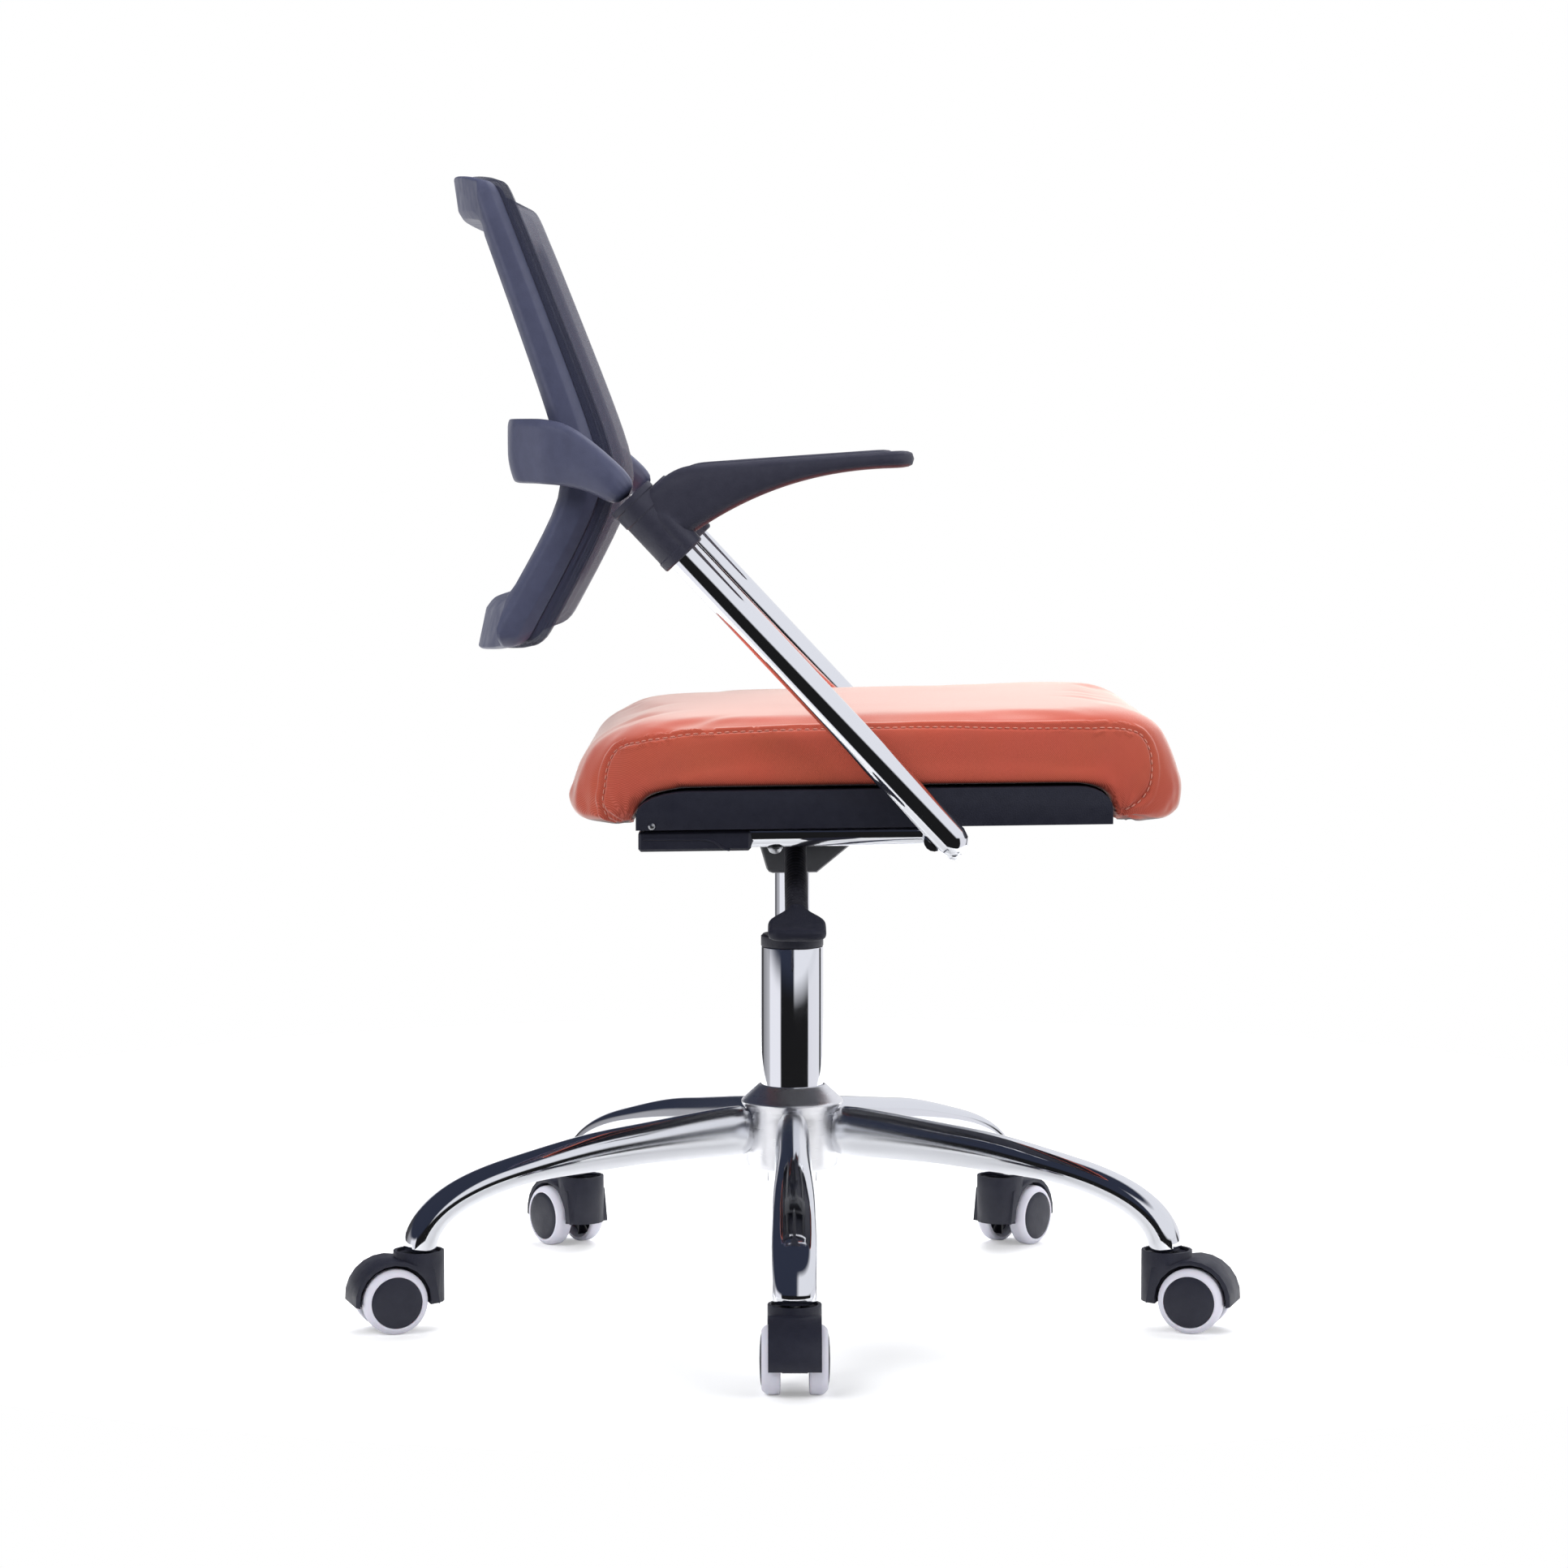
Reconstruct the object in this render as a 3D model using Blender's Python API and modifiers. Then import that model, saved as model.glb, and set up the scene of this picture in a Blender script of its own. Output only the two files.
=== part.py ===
"""Office swivel chair with a reclining mesh back on a five star base with twin wheel casters.

The chair faces +X and stands on Z = 0. Its right side is towards -Y. All sizes are in metres.
"""

import bpy
import bmesh
from math import cos, hypot, pi, radians, sin, sqrt, tan
from mathutils import Matrix, Vector

for old in list(bpy.data.objects):
    bpy.data.objects.remove(old, do_unlink=True)

# Clearances
FIT = 0.0003
RUN = 0.0004

# Casters
WHEEL_DIA = 0.051
WHEEL_WIDTH = 0.0155
WHEEL_SPACING = 0.0205
WHEEL_CAP_DIA = 0.040
AXLE_DIA = 0.006
AXLE_GRIP = 0.009
CASTER_TRAIL = 0.023
HOOD_WIDTH = 0.039
HOOD_WALL = 0.0034
HOOD_CLEARANCE = 0.0030
HOOD_FRONT_ANGLE = radians(-5)
HOOD_REAR_ANGLE = radians(120)
COLLAR_DIA = 0.040
COLLAR_HEIGHT = 0.040
COLLAR_TOP = 0.062
COLLAR_RECESS_GAP = 0.0005
COLLAR_RECESS = 0.0025
STEM_DIA = 0.010
STEM_IN_LEG = 0.024
STEM_IN_HOOD = 0.018

# Five star base
LEG_COUNT = 5
CASTER_CIRCLE = 0.308
HUB_DIA = 0.075
HUB_BOTTOM = 0.112
HUB_RIM = 0.163
HUB_LIP = 0.003
HUB_SHOULDER = 0.179
LEG_ROOT_Z = 0.144
LEG_ROOT_HEIGHT = 0.041
LEG_ROOT_WIDTH = 0.027
LEG_WAIST_HEIGHT = 0.023
LEG_WAIST_WIDTH = 0.034
LEG_END_DEPTH = 0.026
LEG_END_WIDTH = 0.034
LEG_NEAR_DROP = 0.011
LEG_FAR_DROP = 0.025

# Gas lift
COLUMN_DIA = 0.050
COLUMN_WALL = 0.0025
COLUMN_TOP = 0.290
COLUMN_FOOT = 0.100
COLUMN_FOOT_DIA = 0.041
COLUMN_TAPER_DIA = 0.047
FOOT_PLATE = 0.0025
BUSH_RIM = 0.010
BUSH_LENGTH = 0.060
BEARING_DIA = 0.030
BEARING_HEIGHT = 0.004
ROD_DIA = 0.010
ROD_TAIL_DIA = 0.008
ROD_FLANGE_DIA = 0.020
ROD_FLANGE = 0.0025
ROD_TOP = 0.300
CYLINDER_DIA = 0.028
CYLINDER_TIP_DIA = 0.026
CYLINDER_BOTTOM = 0.158
CYLINDER_TOP = 0.372
CYLINDER_END_WALL = 0.008
BUTTON_DIA = 0.008
BUTTON_DEPTH = 0.010
BUTTON_RISE = 0.006
BUTTON_TRAVEL = 0.005

# Seat frame
SEAT_SLOPE = radians(0.7735)
RAIL_DIA = 0.022
RAIL_WALL = 0.0015
RAIL_Z = 0.401
RAIL_INSET = 0.018
RAIL_REAR = -0.112
RAIL_FRONT = 0.112
STUB_DIA = 0.016
STUB_DROP = 0.005
CROSS_DIA = 0.022
CROSS_REAR_X = -0.050
CROSS_FRONT_X = 0.075
COVER_FRONT = -0.032
COVER_BOTTOM = 0.3885
COVER_WIDTH = 0.027
COVER_WALL = 0.004
PAN_BOTTOM = 0.351
PAN_FOOT_LENGTH = 0.039
PAN_FOOT_WIDTH = 0.052
PAN_REAR = -0.030
PAN_FRONT = 0.064
PAN_WIDTH = 0.072
FLANGE_REAR = -0.072
FLANGE_FRONT = 0.097
FLANGE_WIDTH = 0.116
FLANGE_THICKNESS = 0.003

# Slanted arm tubes
TUBE_DIA = 0.025
TUBE_WALL = 0.0015
TUBE_STANDOFF = 0.018
TUBE_FOOT_X = 0.117
TUBE_FOOT_Z = 0.398
TUBE_ANGLE = radians(46.8)
TUBE_LENGTH = 0.335
SOCKET_GRIP = 0.046
SOCKET_LENGTH = 0.059
SOCKET_DIA = 0.036

# Armrest
ARM_REACH = 0.2009
ARM_TIP_RISE = 0.0446
ARM_TIP_HEIGHT = 0.0136
ARM_HEEL_RISE = 0.0306
ARM_HEEL_BEHIND = 0.0037
ARM_HEEL_DROP = 0.0275
ARM_DEPTH = 0.082
ARM_WIDTH = 0.052
ARM_HEEL_WIDTH = 0.032
ARM_EDGE = 0.006

# Seat shell and cushion
SHELL_REAR = -0.118
SHELL_FRONT = 0.238
SHELL_BOTTOM = 0.405
SHELL_TOP = 0.4335
SHELL_REVEAL = 0.002
SHELL_WALL = 0.003
SHELL_REAR_CURVE = 0.041
SHELL_FRONT_CURVE = 0.026
SHELL_CURVE_DROP = 0.017
RIB_THICKNESS = 0.003
RIB_REAR_X = -0.085
RIB_FRONT_X = 0.096
CUSHION_REAR = -0.175
CUSHION_FRONT = 0.299
CUSHION_WIDTH = 0.458
CUSHION_BOTTOM = 0.4035
CUSHION_SEAM = 0.484
CUSHION_CROWN = 0.003
CUSHION_FRONT_ROLL = 0.004
CUSHION_FRONT_CORNER = 0.062
CUSHION_REAR_CORNER = 0.095

# Backrest
BACK_SIDE_GAP = 0.011
BACK_RISE = 0.215
BACK_DROP = 0.152
BACK_CORNER = 0.014
BACK_INNER_CORNER = 0.012
BACK_ARCH_TOP = 0.012
BACK_ARCH_LOW = 0.008
BACK_ROLL_TOP = 0.003
BACK_ROLL_LOW = 0.006
BACK_APEX_AHEAD = 0.032
BACK_APEX_BELOW = 0.023
BACK_APEX_BLEND = 0.025
BACK_LEAN_ABOVE = radians(22.05)
BACK_LEAN_BELOW = radians(28.6)
BACK_HOLLOW = 0.028
FRAME_WIDTH = 0.029
FRAME_TOP_EXTRA = 0.004
FRAME_LOW_EXTRA = 0.010
FRAME_DEPTH_TOP = 0.026
FRAME_DEPTH_LOW = 0.042
FRAME_DEPTH_HEAD = 0.0265
FRAME_DEPTH_BASE = 0.038
MESH_THICKNESS = 0.003
MESH_SETBACK = 0.003
MESH_GROOVE = 0.004
PIVOT_BEHIND_TUBE = 0.0527
PIVOT_ABOVE_TUBE = 0.0408
PIVOT_BOSS_DIA = 0.024
PIVOT_DIA = 0.010
PIVOT_IN_FRAME = 0.026
PIVOT_IN_YOKE = 0.022
SPRING_DIA = 0.0165
SPRING_WIRE = 0.0018
SPRING_TURNS = 4
SPRING_PITCH = 0.0030
YOKE_FACE_INSET = 0.028
YOKE_BEAM_BEHIND = 0.0575
YOKE_BEAM_BOW = 0.012
YOKE_BEAM_HEIGHT = 0.048
YOKE_BEAM_THICKNESS = 0.015
YOKE_BEAM_LEAN = 0.009
YOKE_SPIGOT = 0.022
YOKE_RISE = 0.0025
YOKE_CORNER = 0.014
YOKE_BEND_AHEAD = 0.023
YOKE_BEND_BELOW = 0.0145
YOKE_BEND_HEIGHT = 0.031
YOKE_NECK_AHEAD = 0.0065
YOKE_NECK_BELOW = 0.005
YOKE_NECK_HEIGHT = 0.040
YOKE_CHEEK_BEHIND = 0.008
YOKE_CHEEK_ABOVE = 0.001
YOKE_CHEEK_HEIGHT = 0.047
YOKE_SWELL = 0.003

# Height lever
LEVER_X = 0.002
LEVER_ROD_DIA = 0.008
LEVER_PIVOT_Y = -0.034
LEVER_INNER_END = 0.006
LEVER_DROOP = radians(11.6)
SLEEVE_START = 0.034
SLEEVE_LENGTH = 0.172
SLEEVE_DIA = 0.017
SLEEVE_RIBS = 10
SLEEVE_RIB_DEPTH = 0.0014
PADDLE_LENGTH = 0.056
PADDLE_WIDTH = 0.0435
PADDLE_NECK_WIDTH = 0.019
PADDLE_THICKNESS = 0.010

# Values that follow from the driving dimensions
WHEEL_R = WHEEL_DIA / 2
HOOD_R = WHEEL_R + HOOD_CLEARANCE + HOOD_WALL
COLLAR_RECESS_DIA = LEG_END_WIDTH + 2 * COLLAR_RECESS_GAP
HUB_R = HUB_DIA / 2
COLUMN_R = COLUMN_DIA / 2
CYLINDER_R = CYLINDER_DIA / 2
RAIL_R = RAIL_DIA / 2
TUBE_R = TUBE_DIA / 2
LEG_END_Z = COLLAR_TOP - COLLAR_RECESS + RUN
PLATE_TOP = RAIL_Z - CROSS_DIA / 2 - FIT
LEVER_Z = CYLINDER_TOP + BUTTON_RISE + FIT + LEVER_ROD_DIA / 2
SHELL_WIDTH = CUSHION_WIDTH + 2 * SHELL_REVEAL
RAIL_Y = SHELL_WIDTH / 2 - RAIL_INSET
TUBE_Y = SHELL_WIDTH / 2 + TUBE_STANDOFF
TUBE_SWEEP = 4 * TUBE_DIA
TUBE_TOP_X = TUBE_FOOT_X - cos(TUBE_ANGLE) * TUBE_LENGTH
TUBE_TOP_Z = TUBE_FOOT_Z + sin(TUBE_ANGLE) * TUBE_LENGTH
SOCKET_START = TUBE_LENGTH - SOCKET_GRIP
ARM_HEEL_X = TUBE_TOP_X - ARM_HEEL_BEHIND
ARM_TIP_X = TUBE_TOP_X + ARM_REACH
ARM_HEEL_TOP = TUBE_TOP_Z + ARM_HEEL_RISE
ARM_TIP_TOP = TUBE_TOP_Z + ARM_TIP_RISE
PIVOT_X = TUBE_TOP_X - PIVOT_BEHIND_TUBE
PIVOT_Z = TUBE_TOP_Z + PIVOT_ABOVE_TUBE
YOKE_FACE_Y = TUBE_Y - YOKE_FACE_INSET
YOKE_BEAM_REAR = PIVOT_X - YOKE_BEAM_BEHIND
BACK_HALF = YOKE_FACE_Y - BACK_SIDE_GAP
BACK_TOP = PIVOT_Z + BACK_RISE
BACK_BOTTOM = PIVOT_Z - BACK_DROP
BACK_APEX_X = PIVOT_X + BACK_APEX_AHEAD
BACK_APEX_Z = PIVOT_Z - BACK_APEX_BELOW
LEG_STEP = 2 * pi / LEG_COUNT

# Shapes without a size: shares and powers of the curves
ARM_HEEL_SHARE = 0.20
ARM_HOLLOW = 2.35
CREASE_SHARE = 0.55
CREASE_TAPER = 0.05
BAND_SHARE = 0.14
BAND_DEPTH = 0.28
FRONT_SHARE = 0.42
FRONT_TAPER = 0.28
REAR_SHARE = 0.90
REAR_TAPER = 0.22
INNER_SHARE = 0.72
INNER_TAPER = 0.22

# The foremost caster reaches further than the rear pair, so the column stands off the middle of the base
HOOD_REACH = CASTER_CIRCLE + CASTER_TRAIL + HOOD_R
REAR_REACH = HOOD_REACH * cos(LEG_STEP / 2) + 0.45 * HOOD_WIDTH * sin(LEG_STEP / 2)
COLUMN_Y = (HOOD_REACH - REAR_REACH) / 2


def new_collection(name):
    made = bpy.data.collections.new(name)
    bpy.context.scene.collection.children.link(made)
    return made


PARTS = new_collection("office_chair")
CUTTERS = new_collection("cutters")


def finish(name, colour, roughness, metallic):
    material = bpy.data.materials.new(name)
    material.use_nodes = True
    shader = material.node_tree.nodes["Principled BSDF"]
    shader.inputs["Base Color"].default_value = (*colour, 1.0)
    shader.inputs["Roughness"].default_value = roughness
    shader.inputs["Metallic"].default_value = metallic
    return material


CHROME = finish("chrome", (0.80, 0.81, 0.83), 0.08, 1.0)
SATIN = finish("satin_alloy", (0.62, 0.62, 0.63), 0.30, 1.0)
STEEL = finish("zinc_steel", (0.45, 0.46, 0.48), 0.35, 1.0)
DARK_STEEL = finish("painted_steel", (0.03, 0.03, 0.035), 0.45, 0.2)
BLACK_PLASTIC = finish("black_plastic", (0.018, 0.019, 0.024), 0.50, 0.0)
SLATE_PLASTIC = finish("slate_plastic", (0.030, 0.032, 0.045), 0.48, 0.0)
TREAD_PLASTIC = finish("pale_tread", (0.74, 0.72, 0.78), 0.45, 0.0)
CORAL_FABRIC = finish("coral_fabric", (0.72, 0.13, 0.065), 0.90, 0.0)
MESH_FABRIC = finish("dark_mesh", (0.015, 0.016, 0.022), 0.80, 0.0)


def axis_point(name, place, parent=None, turn=0.0):
    """An empty on a joint's axis, placed relative to its parent."""
    empty = bpy.data.objects.new(name, None)
    PARTS.objects.link(empty)
    empty.location = place
    empty.rotation_euler.z = turn
    empty.parent = parent
    return empty


def chair_matrix(empty):
    """Where an empty stands in the chair's own coordinates, with the column's axis at X = Y = 0."""
    if empty == CHAIR:
        return Matrix()
    return chair_matrix(empty.parent) @ Matrix.LocRotScale(empty.location, empty.rotation_euler, None)


CHAIR = axis_point("chair", (0, COLUMN_Y, 0))
SWIVEL = axis_point("swivel_axis", (0, 0, 0), CHAIR)
BUTTON_AXIS = axis_point("button_axis", (0, 0, CYLINDER_TOP), SWIVEL)
LEVER_AXIS = axis_point("lever_axis", (LEVER_X, LEVER_PIVOT_Y, LEVER_Z), SWIVEL)
BACK_AXIS = axis_point("back_axis", (PIVOT_X, 0, PIVOT_Z), SWIVEL)


def ring(count):
    return [2 * pi * i / count for i in range(count)]


def bezier(a, b, c, d, t):
    u = 1 - t
    return [u**3 * p + 3 * u * u * t * q + 3 * u * t * t * r + t**3 * s for p, q, r, s in zip(a, b, c, d)]


def along(values, t):
    """A value read at t between 0 and 1 from stations at equal steps, eased between them."""
    spot = t * (len(values) - 1)
    first = min(int(spot), len(values) - 2)
    part = spot - first
    part = part * part * (3 - 2 * part)
    return values[first] + (values[first + 1] - values[first]) * part


def power(value, exponent):
    return abs(value) ** exponent * (1 if value >= 0 else -1)


def new_object(name, mesh):
    made = bpy.data.objects.new(name, mesh)
    PARTS.objects.link(made)
    return made


def from_bmesh(name, shape):
    bmesh.ops.recalc_face_normals(shape, faces=shape.faces)
    mesh = bpy.data.meshes.new(name)
    shape.to_mesh(mesh)
    shape.free()
    return new_object(name, mesh)


def rod(name, start, end, radius, sides=20):
    """A round bar between two points."""
    start, end = Vector(start), Vector(end)
    shape = bmesh.new()
    bmesh.ops.create_cone(
        shape, cap_ends=True, segments=sides, radius1=radius, radius2=radius, depth=(end - start).length
    )
    turn = (end - start).to_track_quat("Z", "Y").to_matrix().to_4x4()
    bmesh.ops.transform(shape, matrix=Matrix.Translation((start + end) / 2) @ turn, verts=shape.verts)
    return from_bmesh(name, shape)


def block(name, low, high):
    """A box between two corners."""
    low, high = Vector(low), Vector(high)
    shape = bmesh.new()
    bmesh.ops.create_cube(shape, size=1.0)
    size = Matrix.Diagonal((*(high - low), 1.0))
    bmesh.ops.transform(shape, matrix=Matrix.Translation((low + high) / 2) @ size, verts=shape.verts)
    return from_bmesh(name, shape)


def turned(name, profile, sides, closed=False):
    """A profile of radius and height, turned about Z. A closed profile leaves a bore."""
    mesh = bpy.data.meshes.new(name)
    edges = [(i, i + 1) for i in range(len(profile) - 1)]
    if closed:
        edges.append((len(profile) - 1, 0))
    mesh.from_pydata([(r, 0, z) for r, z in profile], edges, [])
    made = new_object(name, mesh)
    screw = made.modifiers.new("turn", "SCREW")
    screw.axis = "Z"
    screw.steps = sides
    screw.render_steps = sides
    screw.use_merge_vertices = True
    screw.merge_threshold = 0.00001
    return made


def evaluated_mesh(source):
    """The mesh of an object with its modifiers, with loose caps welded."""
    bpy.context.view_layer.update()
    graph = bpy.context.evaluated_depsgraph_get()
    mesh = bpy.data.meshes.new_from_object(source.evaluated_get(graph))
    shape = bmesh.new()
    shape.from_mesh(mesh)
    bmesh.ops.remove_doubles(shape, verts=shape.verts, dist=0.00001)
    bmesh.ops.recalc_face_normals(shape, faces=shape.faces)
    shape.to_mesh(mesh)
    shape.free()
    return mesh


def prism(name, outline, half_width):
    """A side outline of X and Z, filled and given its width to both sides of Y = 0."""
    curve = bpy.data.curves.new(name, "CURVE")
    curve.dimensions = "2D"
    curve.fill_mode = "BOTH"
    curve.extrude = half_width
    spline = curve.splines.new("POLY")
    spline.points.add(len(outline) - 1)
    for point, (x, z) in zip(spline.points, outline):
        point.co = (x, z, 0, 1)
    spline.use_cyclic_u = True
    flat = new_object(name + "_outline", curve)
    mesh = evaluated_mesh(flat)
    mesh.transform(Matrix.Rotation(pi / 2, 4, "X"))
    bpy.data.objects.remove(flat, do_unlink=True)
    return new_object(name, mesh)


def loft(name, sections, caps=True, loop=False):
    """A skin over sections that all have the same number of points."""
    shape = bmesh.new()
    rows = [[shape.verts.new(point) for point in section] for section in sections]
    count = len(sections[0])
    pairs = list(zip(rows, rows[1:]))
    if loop:
        pairs.append((rows[-1], rows[0]))
    for first, second in pairs:
        for i in range(count):
            j = (i + 1) % count
            shape.faces.new((first[i], first[j], second[j], second[i]))
    if caps:
        shape.faces.new(rows[0])
        shape.faces.new(rows[-1])
    return from_bmesh(name, shape)


def tube(name, points, radius, sides_level=2):
    """A wire or bar along points."""
    curve = bpy.data.curves.new(name, "CURVE")
    curve.dimensions = "3D"
    curve.bevel_depth = radius
    curve.bevel_resolution = sides_level
    curve.use_fill_caps = True
    spline = curve.splines.new("POLY")
    spline.points.add(len(points) - 1)
    for point, place in zip(spline.points, points):
        point.co = (*place, 1)
    line = new_object(name + "_line", curve)
    mesh = evaluated_mesh(line)
    bpy.data.objects.remove(line, do_unlink=True)
    return new_object(name, mesh)


def combine(piece, other, operation):
    step = piece.modifiers.new(other.name, "BOOLEAN")
    step.operation = operation
    step.object = other
    other.hide_render = True
    other.display_type = "WIRE"
    PARTS.objects.unlink(other)
    CUTTERS.objects.link(other)


def cut(piece, *others):
    for other in others:
        combine(piece, other, "DIFFERENCE")


def unite(piece, *others):
    for other in others:
        combine(piece, other, "UNION")


def soften(piece, width, segments=2, angle=40):
    bevel = piece.modifiers.new("round_edges", "BEVEL")
    bevel.width = width
    bevel.segments = segments
    bevel.limit_method = "ANGLE"
    bevel.angle_limit = radians(angle)


def lean(*pieces):
    """Raises the seat's pieces towards the front by the seat's slope."""
    for piece in pieces:
        for vertex in piece.data.vertices:
            vertex.co.z += tan(SEAT_SLOPE) * vertex.co.x


def settle(piece, material, parent, local=False):
    """Gives a piece its finish and hangs it, with its cutters, on a joint's empty."""
    piece.data.materials.clear()
    piece.data.materials.append(material)
    if piece.data.polygons:
        piece.data.shade_smooth()
        piece.data.set_sharp_from_angle(angle=radians(35))
    hold = Matrix() if local else chair_matrix(parent).inverted()
    helpers = [step.object for step in piece.modifiers if step.type == "BOOLEAN"]
    for item in [piece, *helpers]:
        item.parent = parent
        item.matrix_parent_inverse = hold
    return piece


# Five star base
def make_hub():
    bore_top = COLUMN_R + FIT
    bore_bottom = COLUMN_TAPER_DIA / 2 + FIT
    hub = turned(
        "base_hub",
        [
            (bore_top, HUB_SHOULDER),
            (bore_top + 0.001, HUB_SHOULDER),
            (HUB_R + HUB_LIP, HUB_RIM + HUB_LIP),
            (HUB_R + HUB_LIP, HUB_RIM),
            (HUB_R, HUB_RIM - HUB_LIP),
            (HUB_R, HUB_BOTTOM + 0.003),
            (HUB_R - 0.003, HUB_BOTTOM),
            (bore_bottom, HUB_BOTTOM),
        ],
        28,
        closed=True,
    )
    return settle(hub, SATIN, CHAIR)


def leg_sections():
    """Upright ovals at the hub that turn into flat ovals, then a round end over the caster."""
    start = (HUB_R - 0.006, LEG_ROOT_Z)
    span = CASTER_CIRCLE - HUB_R
    first = (HUB_R + 0.57 * span, LEG_ROOT_Z - LEG_NEAR_DROP)
    second = (CASTER_CIRCLE - 0.003, LEG_ROOT_Z - LEG_FAR_DROP)
    end = (CASTER_CIRCLE, LEG_END_Z)
    heights = [LEG_ROOT_HEIGHT, 0.5 * (LEG_ROOT_HEIGHT + LEG_WAIST_HEIGHT), LEG_WAIST_HEIGHT]
    heights += [LEG_WAIST_HEIGHT, LEG_END_DEPTH]
    widths = [LEG_ROOT_WIDTH, LEG_ROOT_WIDTH + 0.002, LEG_WAIST_WIDTH, LEG_WAIST_WIDTH, LEG_END_WIDTH]
    rows = 9
    sections = []
    for row in range(rows + 1):
        t = row / rows
        x, z = bezier(start, first, second, end, t)
        ahead = bezier(start, first, second, end, min(t + 0.001, 1.0))
        behind = bezier(start, first, second, end, max(t - 0.001, 0.0))
        run, fall = ahead[0] - behind[0], ahead[1] - behind[1]
        length = hypot(run, fall)
        up = (-fall / length, run / length)
        if row == rows:
            up = (1.0, 0.0)
        half_height, half_width = along(heights, t) / 2, along(widths, t) / 2
        section = []
        for angle in ring(12):
            rise = half_height * power(sin(angle), 0.85)
            side = half_width * power(cos(angle), 0.85)
            section.append((x + up[0] * rise, side, z + up[1] * rise))
        sections.append(section)
    return sections


def make_legs():
    first = loft("base_leg_form", leg_sections())
    socket_top = LEG_END_Z + STEM_IN_LEG + RUN
    drum_r, lip_r = HUB_R + FIT, HUB_R + HUB_LIP + FIT
    hub_space = [(0, HUB_SHOULDER), (lip_r, HUB_SHOULDER), (lip_r, HUB_RIM - FIT)]
    hub_space.append((drum_r, HUB_RIM - HUB_LIP - FIT))
    hub_space += [(drum_r, COLUMN_FOOT), (0, COLUMN_FOOT)]
    cut(
        first,
        turned("hub_space", hub_space, 28),
        rod("stem_hole", (CASTER_CIRCLE, 0, 0), (CASTER_CIRCLE, 0, socket_top), STEM_DIA / 2 + RUN, 12),
    )
    mesh = evaluated_mesh(first)
    bpy.data.objects.remove(first, do_unlink=True)
    for number in range(LEG_COUNT):
        leg = new_object(f"base_leg_{number + 1}", mesh)
        leg.rotation_euler.z = -pi / 2 + number * LEG_STEP
        settle(leg, CHROME, CHAIR, local=True)


def column_radius(z):
    """The column's outside, which tapers where it is wedged in the hub."""
    share = (HUB_SHOULDER - z) / (HUB_SHOULDER - HUB_BOTTOM)
    return COLUMN_R + (COLUMN_TAPER_DIA / 2 - COLUMN_R) * share


def make_column():
    foot_r = COLUMN_FOOT_DIA / 2
    hole = ROD_TAIL_DIA / 2 + RUN
    inner_top = COLUMN_R - COLUMN_WALL
    inner_low = column_radius(HUB_BOTTOM) - COLUMN_WALL
    inner_foot = foot_r - COLUMN_WALL
    tube_profile = [
        (inner_top, COLUMN_TOP),
        (COLUMN_R, COLUMN_TOP),
        (COLUMN_R, HUB_SHOULDER),
        (column_radius(HUB_BOTTOM), HUB_BOTTOM),
        (foot_r, HUB_BOTTOM - 0.004),
        (foot_r, COLUMN_FOOT),
        (hole, COLUMN_FOOT),
        (hole, COLUMN_FOOT + FOOT_PLATE),
        (inner_foot, COLUMN_FOOT + FOOT_PLATE),
        (inner_foot, HUB_BOTTOM - 0.002),
        (inner_low, HUB_BOTTOM + 0.004),
        (inner_top, HUB_SHOULDER),
    ]
    settle(turned("column_tube", tube_profile, 28, closed=True), CHROME, CHAIR)
    sleeve_r = inner_top - FIT
    bore = CYLINDER_R + RUN
    rim_base = COLUMN_TOP + FIT
    bush_profile = [
        (bore, COLUMN_TOP + BUSH_RIM),
        (COLUMN_R - 0.0015, COLUMN_TOP + BUSH_RIM),
        (COLUMN_R, COLUMN_TOP + BUSH_RIM - 0.0015),
        (COLUMN_R, rim_base),
        (sleeve_r, rim_base),
        (sleeve_r, COLUMN_TOP - BUSH_LENGTH),
        (bore, COLUMN_TOP - BUSH_LENGTH),
    ]
    settle(turned("column_bush", bush_profile, 28, closed=True), BLACK_PLASTIC, CHAIR)
    low = COLUMN_FOOT + FOOT_PLATE + FIT
    inner = ROD_TAIL_DIA / 2 + RUN
    bearing_profile = [
        (inner, low + BEARING_HEIGHT),
        (BEARING_DIA / 2, low + BEARING_HEIGHT),
        (BEARING_DIA / 2, low),
        (inner, low),
    ]
    settle(turned("thrust_bearing", bearing_profile, 20, closed=True), STEEL, CHAIR)


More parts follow.
